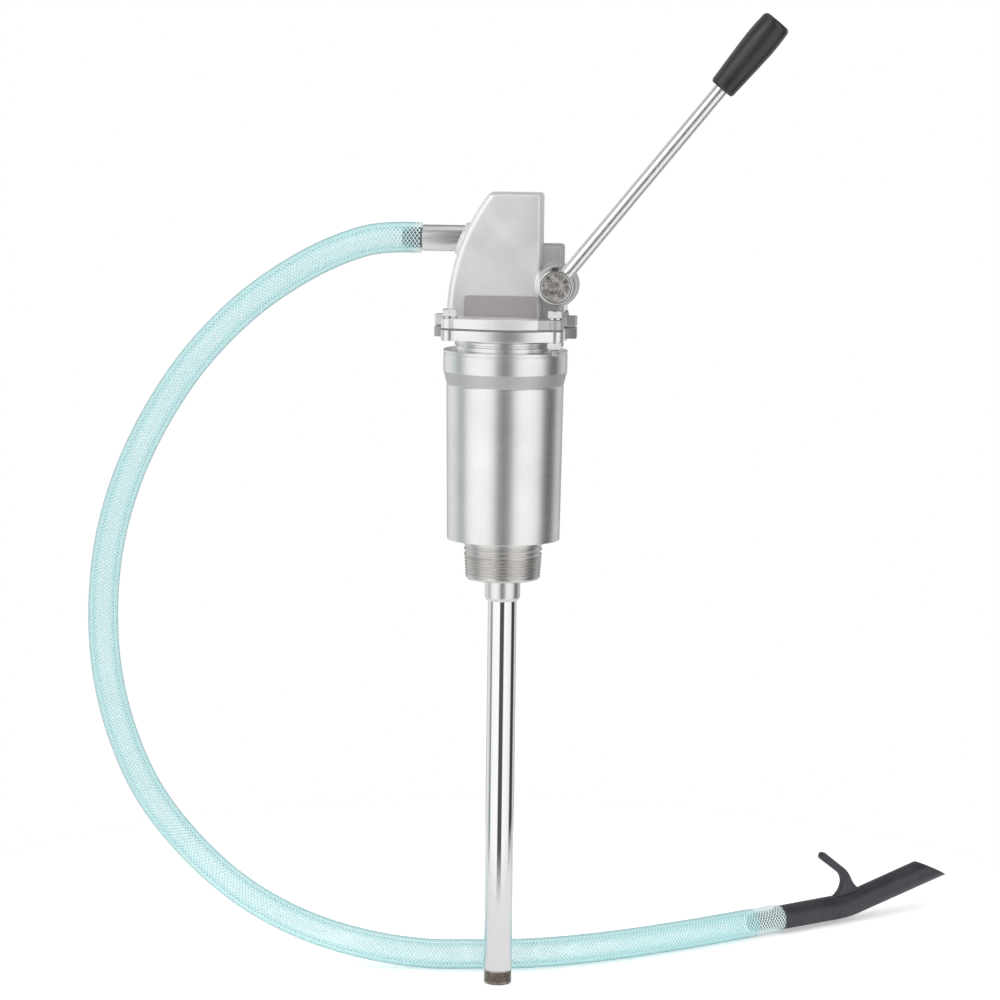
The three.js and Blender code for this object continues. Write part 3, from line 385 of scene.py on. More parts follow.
def grey(value, warmth=0.0):
    return (value * (1 + warmth), value, value * (1 - warmth))


SIDE_BOX_SHADE_X = 0.0264  # beyond the head's right side the casting is painted darker: painted shade on the recessed side box
HUB_FACE_R = (0.0101, 0.0105)  # where the rough face gives way to the turned rim
HUB_FACE_Y = (-0.0552, -0.0546)
DULL_BAND_Z = (0.1157, 0.1253)  # round the barrel, below its collar
BUNG_Z = (-0.031, -0.0005)
FOOT_Z = (LOW - 0.01, LOW + 0.0105)  # the bare thread at the suction pipe's foot


def cast_aluminium():
    s = Shader("cast_aluminium")
    s.set(Metallic=0.58)
    broad = s.noise(s.place(), 28, 4)
    grain = s.noise(s.place(), 900, 4, 0.7)
    pits = s.noise(s.place(), 2600, 2, 0.6)
    bright = s.ramp(broad, [(0.3, grey(0.79, 0.012)), (0.7, grey(0.9, 0.01))])
    # Beyond the head's right side the colour is a darker grey: painted shade on the recessed side box.
    s.to(s.mixed(s.past(SIDE_BOX_SHADE_X), bright, grey(0.5, 0.01)), "Base Color")
    s.to(s.spread(s.maths("ADD", broad, grain), 0.34, 0.48, 0.8, 1.2), "Roughness")
    s.to(s.bump(pits, 0.3, 0.07, s.bump(grain, 0.4, 0.14)), "Normal")
    return s.material


def hub_casting():
    """The hub's turned rim is bright, and its recessed face is left as a rough, dark-flecked casting."""
    s = Shader("hub_casting")
    s.set(Metallic=1.0)
    grain = s.noise(s.place(), 900, 4, 0.7)
    flecks = s.noise(s.place(), 420, 3, 0.65)
    split = s.node("SeparateXYZ")
    s.link(s.place(), split.inputs["Vector"])
    away = s.node("CombineXYZ")
    s.link(s.maths("SUBTRACT", split.outputs["X"], PIVOT.x), away.inputs["X"])
    s.link(s.maths("SUBTRACT", split.outputs["Z"], PIVOT.z), away.inputs["Z"])
    reach = s.node("VectorMath", operation="LENGTH")
    s.link(away.outputs["Vector"], reach.inputs[0])
    inside = s.spread(reach.outputs["Value"], 1, 0, *HUB_FACE_R)
    front = s.spread(split.outputs["Y"], 1, 0, *HUB_FACE_Y)
    face = s.maths("MULTIPLY", inside, front)
    fleck_tones = [(0.34, grey(0.16, 0.05)), (0.5, grey(0.4, 0.05)), (0.64, grey(0.66, 0.04))]
    rough = s.ramp(flecks, fleck_tones)
    s.to(s.mixed(face, grey(0.8, 0.006), rough), "Base Color")
    s.to(s.maths("ADD", 0.26, s.maths("MULTIPLY", face, 0.22)), "Roughness")
    lumps = s.maths("MULTIPLY", flecks, face)
    s.to(s.bump(lumps, 0.8, 0.6, s.bump(grain, 0.15, 0.05)), "Normal")
    return s.material


SPIGOT_SHADE_X = -0.0627  # painted shade: the outlet's spigot, inside the hose, is coloured near black


def outlet_metal():
    """A drawn tube with fine lines along it, and painted shade on its spigot inside the hose."""
    s = Shader("outlet_metal")
    s.set(Metallic=1.0, Anisotropic=0.4)
    lines = s.noise(s.place((8, 160, 160)), 6, 4)
    drawn = s.ramp(lines, [(0.3, grey(0.76, 0.02)), (0.7, grey(0.9, 0.015))])
    # The spigot inside the hose is coloured near black: painted shade.
    s.to(s.mixed(s.past(SPIGOT_SHADE_X), grey(0.1, 0.02), drawn), "Base Color")
    s.to(s.spread(lines, 0.3, 0.42), "Roughness")
    tangent = s.node("Tangent", direction_type="RADIAL", axis="X")
    s.to(tangent.outputs["Tangent"], "Tangent")
    return s.material


def turned_aluminium():
    s = Shader("turned_aluminium")
    s.set(Metallic=1.0, Anisotropic=0.55)
    rings = s.noise(s.place((1, 1, 260)), 12, 5, 0.6)
    fine = s.noise(s.place((2, 2, 1500)), 8, 3, 0.6)
    broad = s.noise(s.place(), 30, 3)
    band = s.between(*DULL_BAND_Z)
    bright = s.ramp(broad, [(0.3, grey(0.8, 0.006)), (0.7, grey(0.88, 0.004))])
    worn = s.mixed(band, bright, grey(0.62, 0.004))
    s.to(s.mixed(s.between(*BUNG_Z), worn, grey(0.72, 0.02)), "Base Color")
    s.to(s.maths("ADD", s.spread(rings, 0.27, 0.31), s.maths("MULTIPLY", band, 0.18)), "Roughness")
    s.to(s.bump(fine, 0.06, 0.01, s.bump(rings, 0.03, 0.02)), "Normal")
    tangent = s.node("Tangent", direction_type="RADIAL", axis="Z")
    s.to(tangent.outputs["Tangent"], "Tangent")
    return s.material


def chrome():
    s = Shader("chrome")
    s.set(Metallic=1.0)
    haze = s.noise(s.place((1, 1, 0.3)), 60, 4)
    fine = s.noise(s.place((1, 1, 40)), 40, 3)
    bare = s.between(*FOOT_Z)
    stain = s.ramp(s.noise(s.place(), 400, 4), [(0.3, (0.26, 0.22, 0.19)), (0.7, (0.5, 0.46, 0.41))])
    s.to(s.mixed(bare, (0.86, 0.86, 0.865), stain), "Base Color")
    s.to(s.maths("ADD", s.spread(haze, 0.05, 0.12), s.maths("MULTIPLY", bare, 0.35)), "Roughness")
    s.to(s.bump(fine, 0.03, 0.01), "Normal")
    return s.material


def drawn_steel():
    """The lever rod is bright drawn steel, satin rather than polished."""
    s = Shader("drawn_steel")
    s.set(Metallic=1.0)
    lines = s.noise(s.place((3, 3, 0.4)), 420, 4)
    s.to(s.ramp(lines, [(0.3, grey(0.8, 0.01)), (0.7, grey(0.92, 0.008))]), "Base Color")
    s.to(s.spread(lines, 0.26, 0.36), "Roughness")
    s.to(s.bump(lines, 0.12, 0.02), "Normal")
    return s.material


def zinc():
    s = Shader("zinc_plate")
    s.set(Metallic=1.0)
    cloud = s.noise(s.place(), 240, 4)
    s.to(s.ramp(cloud, [(0.3, grey(0.6, 0.02)), (0.7, grey(0.74, 0.012))]), "Base Color")
    s.to(s.spread(cloud, 0.12, 0.22), "Roughness")
    s.to(s.bump(s.noise(s.place(), 1500, 3), 0.1, 0.02), "Normal")
    return s.material


def steel():
    s = Shader("ground_steel")
    s.set(Metallic=1.0, Anisotropic=0.3)
    lines = s.noise(s.place((1, 1, 200)), 14, 4)
    s.to(s.ramp(lines, [(0.3, grey(0.55)), (0.7, grey(0.68))]), "Base Color")
    s.to(s.spread(lines, 0.25, 0.4), "Roughness")
    s.to(s.bump(lines, 0.15, 0.03), "Normal")
    return s.material


def bronze():
    s = Shader("bronze")
    s.set(Metallic=1.0)
    cloud = s.noise(s.place(), 200, 4)
    s.to(s.ramp(cloud, [(0.3, (0.55, 0.38, 0.17)), (0.7, (0.7, 0.52, 0.27))]), "Base Color")
    s.to(s.spread(cloud, 0.3, 0.45), "Roughness")
    return s.material


def rubber():
    s = Shader("rubber")
    grain = s.noise(s.place(), 1200, 3)
    s.to(s.ramp(grain, [(0.3, grey(0.03)), (0.7, grey(0.05))]), "Base Color")
    s.to(s.spread(grain, 0.6, 0.8), "Roughness")
    return s.material


def gasket_sheet():
    s = Shader("gasket_sheet")
    fibre = s.noise(s.place((1, 1, 6)), 700, 4, 0.7)
    s.to(s.ramp(fibre, [(0.3, grey(0.16)), (0.7, grey(0.26))]), "Base Color")
    s.to(s.spread(fibre, 0.7, 0.9), "Roughness")
    s.to(s.bump(fibre, 0.4, 0.05), "Normal")
    return s.material


def label_metal():
    s = Shader("label_metal")
    s.set(Metallic=0.75)
    brushed = s.noise(s.place((12, 1, 320)), 10, 4, 0.65)
    s.to(s.ramp(brushed, [(0.25, (0.52, 0.495, 0.5)), (0.75, (0.6, 0.575, 0.58))]), "Base Color")
    s.to(s.spread(brushed, 0.4, 0.55), "Roughness")
    s.to(s.bump(brushed, 0.12, 0.02), "Normal")
    return s.material


def grip_plastic():
    s = Shader("grip_plastic")
    grain = s.noise(s.place(), 1600, 3, 0.6)
    broad = s.noise(s.place(), 60, 3)
    s.to(s.ramp(broad, [(0.3, (0.02, 0.019, 0.021)), (0.7, (0.032, 0.03, 0.033))]), "Base Color")
    s.to(s.spread(s.maths("ADD", broad, grain), 0.26, 0.38, 0.8, 1.2), "Roughness")
    s.to(s.bump(grain, 0.18, 0.04), "Normal")
    return s.material


def spout_plastic():
    s = Shader("spout_plastic")
    grain = s.noise(s.place(), 1100, 3, 0.6)
    broad = s.noise(s.place(), 45, 4)
    s.to(s.ramp(broad, [(0.3, (0.032, 0.027, 0.037)), (0.7, (0.048, 0.042, 0.054))]), "Base Color")
    s.to(s.spread(s.maths("ADD", broad, grain), 0.24, 0.34, 0.8, 1.2), "Roughness")
    s.to(s.bump(grain, 0.05, 0.02), "Normal")
    return s.material


# The wall is clearer where it grips the outlet's spigot and the spout's tail: a point and a reach.
CLEAR_ENDS = [((-0.0628, 0.0, 0.223), 0.012), ((0.213, 0.1756, -0.3282), 0.03)]


def clear_hose():
    """A clear, faintly aqua wall, whose opacity and tint are stronger where it is seen edge on."""
    s = Shader("clear_hose")
    s.set(IOR=1.45, Coat_Weight=0.6, Coat_Roughness=0.08, Coat_IOR=1.45)
    edge = s.node("LayerWeight")
    edge.inputs["Blend"].default_value = 0.5
    tints = [(0.1, (0.4, 0.8, 0.82)), (0.45, (0.3, 0.7, 0.72)), (0.85, (0.1, 0.42, 0.45))]
    cloud = s.noise(s.place(), 50, 4)
    s.to(s.ramp(edge.outputs["Facing"], tints), "Base Color")
    alpha = s.spread(edge.outputs["Facing"], 0.17, 0.64, 0.1, 0.75)
    for point, reach in CLEAR_ENDS:
        alpha = s.maths("MULTIPLY", alpha, s.beyond(point, reach, 0.3))
    s.to(alpha, "Alpha")
    s.to(s.spread(cloud, 0.12, 0.2), "Roughness")
    return s.material


YARN_GLOW = 0.1  # stands for the light that the clear wall scatters onto the yarns


def braid_yarn():
    s = Shader("braid_yarn")
    fibre = s.noise(s.place(), 900, 2)
    s.to(s.ramp(fibre, [(0.3, (0.88, 0.94, 0.94)), (0.7, (0.96, 0.98, 0.98))]), "Base Color")
    s.set(Roughness=0.5, Emission_Strength=YARN_GLOW)
    s.surface.inputs["Emission Color"].default_value = (1, 1, 1, 1)
    return s.material


FLOOR_GLOW = 0.3
FLOOR_SEEN_IN_METAL = 0.76  # its tone in mirrored rays, where it has no glow
FLOOR_FADE = 0.34
FLOOR_REACH = 0.52
FLOOR_CENTRE = Vector((0.0, 0.13, 0.0))  # under the hose, which lies behind the pump


def floor_paper():
    """White paper that fades out round the object, so that no horizon shows."""
    s = Shader("floor_paper")
    cloud = s.noise(s.place(), 3, 2)
    paper = s.ramp(cloud, [(0.3, grey(0.9)), (0.7, grey(0.91))])
    mirrored = s.node("LightPath").outputs["Is Glossy Ray"]
    s.to(s.mixed(mirrored, paper, grey(FLOOR_SEEN_IN_METAL)), "Base Color")
    s.to(s.spread(mirrored, FLOOR_GLOW, 0, 0, 1), "Emission Strength")
    s.set(Roughness=0.8, Specular_IOR_Level=0.1)
    s.surface.inputs["Emission Color"].default_value = (1, 1, 1, 1)
    away = s.node("VectorMath", operation="DISTANCE")
    s.link(s.place((1, 1, 0)), away.inputs[0])
    away.inputs[1].default_value = FLOOR_CENTRE
    s.to(s.spread(away.outputs["Value"], 1, 0, FLOOR_FADE, FLOOR_REACH), "Alpha")
    return s.material


MATERIALS = {
    "machined_aluminium": turned_aluminium(),
    "cast_aluminium": cast_aluminium(),
    "chromed_steel": chrome(),
    "zinc_fasteners": zinc(),
    "nameplate": label_metal(),
    "steel": steel(),
    "bronze": bronze(),
    "rubber": rubber(),
    "gasket": gasket_sheet(),
    "grip": grip_plastic(),
    "spout": spout_plastic(),
    "hose": clear_hose(),
}
YARN = braid_yarn()
HUB = hub_casting()
OUTLET = outlet_metal()
DRAWN = drawn_steel()


def dress(made, material):
    made.data.materials.clear()
    made.data.materials.append(material)


def stand_for(made, node, body, slot, material=None):
    """The piece replaces a CAD node, rides on its body and takes its slot's finish."""
    dress(made, material or MATERIALS[slot])
    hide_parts(node)
    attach(made, body)
    return made


# Every CAD node gets its slot's material and smooth shading, also those that are replaced below.
for part in frame["record"]["subparts"]:
    node = NODES[part["node"]]
    dress(node, MATERIALS[part["material_slot"]])
    node.data.shade_smooth()
    node.data.set_sharp_from_angle(angle=math.radians(SMOOTH_ANGLE))

# ---------- hose ----------

HOSE_ROUTE = [
    (-0.0628, 0.0000, 0.2230),
    (-0.0800, 0.0000, 0.2230),
    (-0.1010, 0.0005, 0.2208),
    (-0.1280, 0.0015, 0.2115),
    (-0.1590, 0.0030, 0.1950),
    (-0.1960, 0.0060, 0.1680),
    (-0.2350, 0.0090, 0.1270),
    (-0.2670, 0.0130, 0.0780),
    (-0.2885, 0.0160, 0.0300),
    (-0.3015, 0.0190, -0.0200),
    (-0.3055, 0.0210, -0.0720),
    (-0.3020, 0.0230, -0.1180),
    (-0.2905, 0.0240, -0.1630),
    (-0.2700, 0.0260, -0.2080),
    (-0.2360, 0.0280, -0.2510),
    (-0.1970, 0.0290, -0.2840),
    (-0.1520, 0.0310, -0.3080),
    (-0.1060, 0.0330, -0.3220),
    (-0.0600, 0.0340, -0.3282),
    (-0.0200, 0.0360, -0.3282),
    (0.0200, 0.0430, -0.3282),
    (0.0580, 0.0590, -0.3282),
    (0.0940, 0.0805, -0.3282),
    (0.1240, 0.1020, -0.3282),
    (0.1480, 0.1205, -0.3282),
    (0.1690, 0.1379, -0.3282),
    (0.1905, 0.1562, -0.3282),
    (0.2130, 0.1756, -0.3282),
]
HOSE_R = 11.3
HOSE_BORE_R = 8.1
BRAID_R = 10.5
HOSE_SIDES = 40
YARNS = 16  # each way round
YARN_LEAD = 0.045  # metres of hose for one turn
YARN_HALF_WIDTH = 0.36
YARN_HALF_THICKNESS = 0.16
YARN_CLEARANCE = 0.9  # keeps the two sets apart where they cross
YARN_INSET = 0.0006  # from each end of the hose
YARN_STEPS = 22  # in one turn
ROUTE_STEP = 0.006
CURVE_STEPS = 24  # between two points of the route


def smooth_route(points, step):
    """Points on a centripetal curve through the route, evenly spaced."""
    ends = [points[0] * 2 - points[1], *points, points[-1] * 2 - points[-2]]
    fine = []
    for p0, p1, p2, p3 in zip(ends, ends[1:], ends[2:], ends[3:]):
        t0 = 0.0
        t1 = t0 + (p1 - p0).length ** 0.5
        t2 = t1 + (p2 - p1).length ** 0.5
        t3 = t2 + (p3 - p2).length ** 0.5
        for k in range(CURVE_STEPS):
            t = t1 + (t2 - t1) * k / CURVE_STEPS
            a1 = p0 * ((t1 - t) / (t1 - t0)) + p1 * ((t - t0) / (t1 - t0))
            a2 = p1 * ((t2 - t) / (t2 - t1)) + p2 * ((t - t1) / (t2 - t1))
            a3 = p2 * ((t3 - t) / (t3 - t2)) + p3 * ((t - t2) / (t3 - t2))
            b1 = a1 * ((t2 - t) / (t2 - t0)) + a2 * ((t - t0) / (t2 - t0))
            b2 = a2 * ((t3 - t) / (t3 - t1)) + a3 * ((t - t1) / (t3 - t1))
            fine.append(b1 * ((t2 - t) / (t2 - t1)) + b2 * ((t - t1) / (t2 - t1)))
    fine.append(points[-1].copy())
    lengths = [0.0]
    for a, b in zip(fine, fine[1:]):
        lengths.append(lengths[-1] + (b - a).length)
    count = round(lengths[-1] / step)
    out, i = [], 0
    for k in range(count + 1):
        want = lengths[-1] * k / count
        while i < len(lengths) - 2 and lengths[i + 1] < want:
            i += 1
        share = (want - lengths[i]) / max(lengths[i + 1] - lengths[i], 1e-9)
        out.append(fine[i].lerp(fine[i + 1], share))
    return out, lengths[-1]


def frames_along(line):
    """A side and an up direction at each point, carried along without twist."""
    out = []
    side = Vector((0, 1, 0))
    for i, point in enumerate(line):
        ahead = (line[min(i + 1, len(line) - 1)] - line[max(i - 1, 0)]).normalized()
        side = (side - ahead * side.dot(ahead)).normalized()
        out.append((point, side, ahead.cross(side)))
    return out


def on_hose(frames, along, turn, radius):
    """A point on a circle round the hose, along metres from its start."""
    place = along / HOSE_LENGTH * (len(frames) - 1)
    i = min(int(place), len(frames) - 2)
    t = place - i
    centre = frames[i][0].lerp(frames[i + 1][0], t)
    side = frames[i][1].lerp(frames[i + 1][1], t)
    up = frames[i][2].lerp(frames[i + 1][2], t)
    return centre + (side * math.cos(turn) + up * math.sin(turn)) * radius


HOSE_LINE, HOSE_LENGTH = smooth_route([Vector(p) for p in HOSE_ROUTE], ROUTE_STEP)
HOSE_FRAMES = frames_along(HOSE_LINE)


def hose_tube():
    """The clear wall: an outer and an inner skin, joined at both ends."""
    skins = [(HOSE_R, HOSE_FRAMES), (HOSE_BORE_R, HOSE_FRAMES[::-1])]
    points, rows = [], []
    for radius, frames in skins:
        for centre, side, up in frames:
            rows.append(len(points))
            for k in range(HOSE_SIDES):
                turn = 2 * math.pi * k / HOSE_SIDES
                points.append(centre + (side * math.cos(turn) + up * math.sin(turn)) * radius * MM)
    faces = []
    for low, high in zip(rows, rows[1:] + rows[:1]):
        for k in range(HOSE_SIDES):
            nxt = (k + 1) % HOSE_SIDES
            faces.append([low + k, low + nxt, high + nxt, high + k])
    return add_mesh("hose_wall", points, faces, 50)


def hose_braid():
    """Two sets of flat yarns that wind round the hose in opposite directions."""
    points, faces = [], []
    steps = round(HOSE_LENGTH / YARN_LEAD * YARN_STEPS)
    for way in (1, -1):
        radius = (BRAID_R + way * YARN_HALF_THICKNESS) * MM
        for yarn in range(YARNS):
            start = 2 * math.pi * yarn / YARNS
            rows = []
            for k in range(steps + 1):
                along = YARN_INSET + (HOSE_LENGTH - 2 * YARN_INSET) * k / steps
                turn = start + way * 2 * math.pi * along / YARN_LEAD
                rows.append(len(points))
                for edge, lift in ((-1, -1), (1, -1), (1, 1), (-1, 1)):
                    wide = edge * YARN_HALF_WIDTH / BRAID_R
                    out = radius + lift * YARN_HALF_THICKNESS * YARN_CLEARANCE * MM
                    points.append(on_hose(HOSE_FRAMES, along, turn + wide, out))
            for low, high in zip(rows, rows[1:]):
                for k in range(4):
                    nxt = (k + 1) % 4
                    faces.append([low + k, low + nxt, high + nxt, high + k])
            faces.append([rows[0] + k for k in (3, 2, 1, 0)])
            faces.append([rows[-1] + k for k in (0, 1, 2, 3)])
    return add_mesh("hose_braid", points, faces, 60)


hose_wall = stand_for(hose_tube(), "hose", "casing", "hose")
braid = hose_braid()
dress(braid, YARN)
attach(braid, "casing")

# ---------- head and barrel ----------


HEAD_VOXEL = 0.55
HEAD_SMOOTHING = 5
HEAD_SHARE = 0.45  # of the even skin's faces that are kept


def head_mesh():
    return remeshed(copy_of("pump_head", "pump_head_fine"), HEAD_VOXEL, HEAD_SMOOTHING, HEAD_SHARE)


INCH = 25.4
BUNG_PITCH = INCH / 11
THREAD_LOW_Z = -28.6
THREAD_TOP_Z = -1.2
BUNG_RINGS_Z = -12.4  # three coarser rings above this height
BUNG_RING_PITCH = 3.8
THREAD_DEPTH = 1.45


def bung_thread(r, z, turn):
    """Depth of the bung's thread at a height, fading out at both ends."""
    if r < 20 or not THREAD_LOW_Z < z < THREAD_TOP_Z:
        return 0.0
    share = (z / BUNG_PITCH - turn / (2 * math.pi)) % 1.0
    if z > BUNG_RINGS_Z:
        share = (z / BUNG_RING_PITCH) % 1.0
    depth = abs(share * 2 - 1)
    crest = min(1.0, max(0.0, (depth - 0.12) / 0.76))
    fade = min(1.0, (z - THREAD_LOW_Z) / 2.5, (THREAD_TOP_Z - z) / 3.5)
    return -THREAD_DEPTH * (1 - crest) * max(0.0, fade)


BOLTS = []
for number in range(1, 5):
    low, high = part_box(f"flange_bolt_{number}")
    BOLTS.append(((low.x + high.x) / 2 / MM, (low.y + high.y) / 2 / MM))
FLANGE_R = 45
EAR_R = 6.5
BOW_REACH = 52  # of the bowed front and back edges
BOW_R = 80
LUG_REACH = 52.6
LUG_HALF = 7.5
BORE_R = 32
FLANGE_LOW_Z = 150.5
FLANGE_TOP_Z = 158.4
FLANGE_EDGE = 0.5
FLANGE_SIDES = 900
BOLT_HOLE_R = 3.1
BUNG_STEPS = 170
BARREL_ANGLE = 32


def flange_reach(turn):
    """How far the flange goes from the axis: disc, bowed edges, four ears and two side lugs."""
    across, along = abs(math.cos(turn)), abs(math.sin(turn))
    bow_centre = BOW_REACH - BOW_R
    half = along * bow_centre
    bow = half + math.sqrt(half * half - bow_centre ** 2 + BOW_R ** 2)
    bow = min(bow, abs(BOLTS[0][0]) / max(across, 1e-6))
    lug = min(LUG_HALF / max(along, 1e-6), LUG_REACH / max(across, 1e-6))
    ear_turn = math.atan2(abs(BOLTS[0][1]), abs(BOLTS[0][0]))
    ear_reach = math.hypot(*BOLTS[0])
    off = math.atan2(along, across) - ear_turn
    sideways = ear_reach * math.sin(off)
    ear = 0.0
    if abs(sideways) < EAR_R and math.cos(off) > 0:
        ear = ear_reach * math.cos(off) + math.sqrt(EAR_R ** 2 - sideways ** 2)
    arm = min(EAR_R / max(abs(math.sin(off)), 1e-6), ear_reach / max(math.cos(off), 1e-6))
    return max(FLANGE_R, bow, lug, ear, arm)


def flange_outline():
    points = []
    for k in range(FLANGE_SIDES):
        turn = 2 * math.pi * k / FLANGE_SIDES
        reach = flange_reach(turn)
        points.append((reach * math.cos(turn), reach * math.sin(turn)))
    return points


def barrel_mesh():
    body = [
        (9, -30, 0.3),
        (26.4, -30, 0.3),
        (27.9, -28.5, 0.3),
    ]
    for k in range(1, BUNG_STEPS):
        z = -28.5 + 27.3 * k / BUNG_STEPS
        body.append((27.9 + 1.8 * k / BUNG_STEPS, z, 0))
    body += [
        (29.7, -1.2, 0),
        (29.7, 0, 0.1),
        (42, 0, 0.6),
        (42.15, 12, 0),
        (43.5, 114.9, 0.3),
        (43.1, 115.5, 0.2),
        (43.6, 116.3, 0.4),
        (45.2, 123, 1.5),
        (46, 125.7, 0.8),
        (46, 138.2, 0.2),
        (45.5, 138.6, 0.1),
        (45.5, 139.2, 0.1),
        (46, 139.6, 0.2),
        (46, 141.3, 0.6),
        (36.6, 141.3, 0.4),
        (36.6, 144.4, 0.4),
        (35.4, 144.8, 0.2),
        (35.4, 146.0, 0.3),
        (36.4, 146.4, 0.3),
        (36.4, 148.2, 0.4),
        (35.4, 148.6, 0.3),
        (36, 155, 0),
        (BORE_R, 155, 0),
        (BORE_R, 10, 0.5),
        (15.5, 10, 0),
        (14, 12.5, 0.3),
        (11, 12.5, 0.3),
        (9, 10, 0.3),
    ]
    made = turned("barrel_fine", body, sides=144, wave=bung_thread, smooth_angle=BARREL_ANGLE)
    holes = [(x, y, BOLT_HOLE_R) for x, y in BOLTS] + [(0, 0, BORE_R + 1.5)]
    outline = flange_outline()
    ring = plate("barrel_flange", outline, holes, FLANGE_LOW_Z, FLANGE_TOP_Z, FLANGE_EDGE)
    boolean(made, ring, "UNION")
    tidy(made, BARREL_ANGLE)
    return made


stand_for(head_mesh(), "pump_head", "casing", "cast_aluminium")
stand_for(barrel_mesh(), "barrel", "casing", "machined_aluminium")

# ---------- suction side ----------


PIPE_PITCH = INCH / 14
PIPE_THREAD_DEPTH = 1.05
PIPE_THREAD_LOW = 1.2  # above the pipe's foot
PIPE_THREAD_TOP = 10.5
PIPE_STEPS = 60


def pipe_thread(r, z, turn):
    """Depth of the thread at the suction pipe's foot."""
    low = LOW / MM
    if r < 9.5 or not low + PIPE_THREAD_LOW < z < low + PIPE_THREAD_TOP:
        return 0.0
    share = (z / PIPE_PITCH - turn / (2 * math.pi)) % 1.0
    depth = abs(share * 2 - 1)
    fade = min(1.0, (z - low - PIPE_THREAD_LOW) / 1.5, (low + PIPE_THREAD_TOP - z) / 1.5)
    crest = min(1.0, max(0.0, (depth - 0.1) / 0.8))
    return -PIPE_THREAD_DEPTH * (1 - crest) * max(0.0, fade)


def suction_pipe_mesh():
    low = LOW / MM
    body = [(8.4, low, 0.2), (9.2, low, 0.1), (10.35, low + 1.2, 0.1)]
    body += [(10.42, low + 1.2 + 9.3 * k / PIPE_STEPS, 0) for k in range(1, PIPE_STEPS)]
    body += [(10.42, low + 10.6, 0.1), (10.65, low + 11.2, 0.1), (10.65, -24, 0.2), (8.4, -24, 0.2)]
    return turned("suction_pipe_fine", body, sides=96, wave=pipe_thread, smooth_angle=30)


def socket_mesh():
    body = [
        (10.85, -46.6, 0.2),
        (11.4, -46.6, 0.3),
        (13.2, -44.2, 1.8),
        (13.2, -30.3, 0.4),
        (13, -30.3, 0),
        (13, -16, 0.3),
        (8, -16, 0.2),
        (8, -23, 0),
        (10.85, -23, 0),
    ]
    return turned("suction_socket_fine", body, sides=80)


stand_for(suction_pipe_mesh(), "suction_pipe", "casing", "chromed_steel")
stand_for(socket_mesh(), "suction_socket", "casing", "machined_aluminium")

# ---------- outlet ----------

OUTLET_PLACE = Matrix.Translation((0, 0, HOSE_ROUTE[0][2])) @ Matrix.Rotation(-math.pi / 2, 4, "Y")


def outlet_mesh():
    body = [
        (6, 27, 0.2),
        (9.7, 27, 0.2),
        (9.7, 61.9, 0.5),
        (7.35, 62.5, 0.3),
        (7.35, 64, 0.2),
        (7.8, 64.6, 0.2),
        (7.35, 67.5, 0.2),
        (7.8, 68.1, 0.2),
        (7.35, 71, 0.2),
        (7.8, 71.6, 0.2),
        (7.2, 76.4, 0.8),
        (6, 77.4, 0.3),
    ]
    return turned("outlet_pipe_fine", body, OUTLET_PLACE, sides=80)


stand_for(outlet_mesh(), "outlet_pipe", "casing", "cast_aluminium", OUTLET)

# ---------- fasteners ----------

ACROSS_FLATS = 10
BOLT_HEAD_H = 5.2
BOLT_THREAD_DEPTH = 0.5
BOLT_THREAD_H = 16
BOLT_STEPS = 90
FASTENER_ANGLE = 30


def hexagon(across_flats, low, high, place):
    """A hexagonal prism with a corner towards the front."""
    corner = across_flats / 2 / math.cos(math.pi / 6)
    turns = [math.radians(60 * k - 90) for k in range(6)]
    ring = [(corner * math.cos(t), corner * math.sin(t)) for t in turns]
    points = [Vector((x, y, z)) * MM for z in (low, high) for x, y in ring]
    faces = [list(range(6))[::-1], list(range(6, 12))]
    faces += [[k, (k + 1) % 6, (k + 1) % 6 + 6, k + 6] for k in range(6)]
    return add_mesh("hexagon", placed(points, place), faces)


def bolt_mesh(name, x, y):
    place = Matrix.Translation((x * MM, y * MM, 0))
    low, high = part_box(name)
    top, tail = high.z / MM, low.z / MM
    under = top - BOLT_HEAD_H
    made = hexagon(ACROSS_FLATS, under, top, place)
    crown = [(0, under), (5.5, under), (6.2, under + 0.6), (6.2, top - 1.2), (4.7, top), (0, top)]
    boolean(made, turned("crown", crown, place, sides=48, radius=0), "INTERSECT")

    def thread(r, z, turn):
        if r < 2 or z > tail + BOLT_THREAD_H or z < tail + 0.9:
            return 0.0
        return -BOLT_THREAD_DEPTH * abs((z - turn / (2 * math.pi)) % 1.0 * 2 - 1)

    shank = [(0, tail), (2.2, tail, 0.1), (2.8, tail + 0.8, 0)]
    shank += [(2.8, tail + 0.8 + 15.2 * k / BOLT_STEPS, 0) for k in range(1, BOLT_STEPS + 1)]
    shank += [(2.8, under + 0.6, 0), (0, under + 0.6)]
    boolean(made, turned("shank", shank, place, sides=24, radius=0, wave=thread), "UNION")
    made.name = name + "_fine"
    tidy(made, FASTENER_ANGLE)
    return made


def nut_mesh(name, x, y):
    place = Matrix.Translation((x * MM, y * MM, 0))
    low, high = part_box(name)
    bottom, top = low.z / MM, high.z / MM
    made = hexagon(ACROSS_FLATS, bottom, top, place)
    body = [(2.95, bottom + 0.4), (3.3, bottom), (4.9, bottom), (6.0, bottom + 0.8)]
    body += [(6.0, top - 0.8), (4.9, top), (3.3, top), (2.95, top - 0.4)]
    boolean(made, turned("nut_body", body, place, sides=48, radius=0), "INTERSECT")
    made.name = name + "_fine"
    tidy(made, FASTENER_ANGLE)
    return made


def washer_mesh(name, x, y):
    place = Matrix.Translation((x * MM, y * MM, 0))
    low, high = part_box(name)
    bottom, top = low.z / MM, high.z / MM
    body = [(3.0, bottom), (5.9, bottom), (5.9, top), (3.0, top)]
    return turned(name + "_fine", body, place, sides=48, radius=0.25)


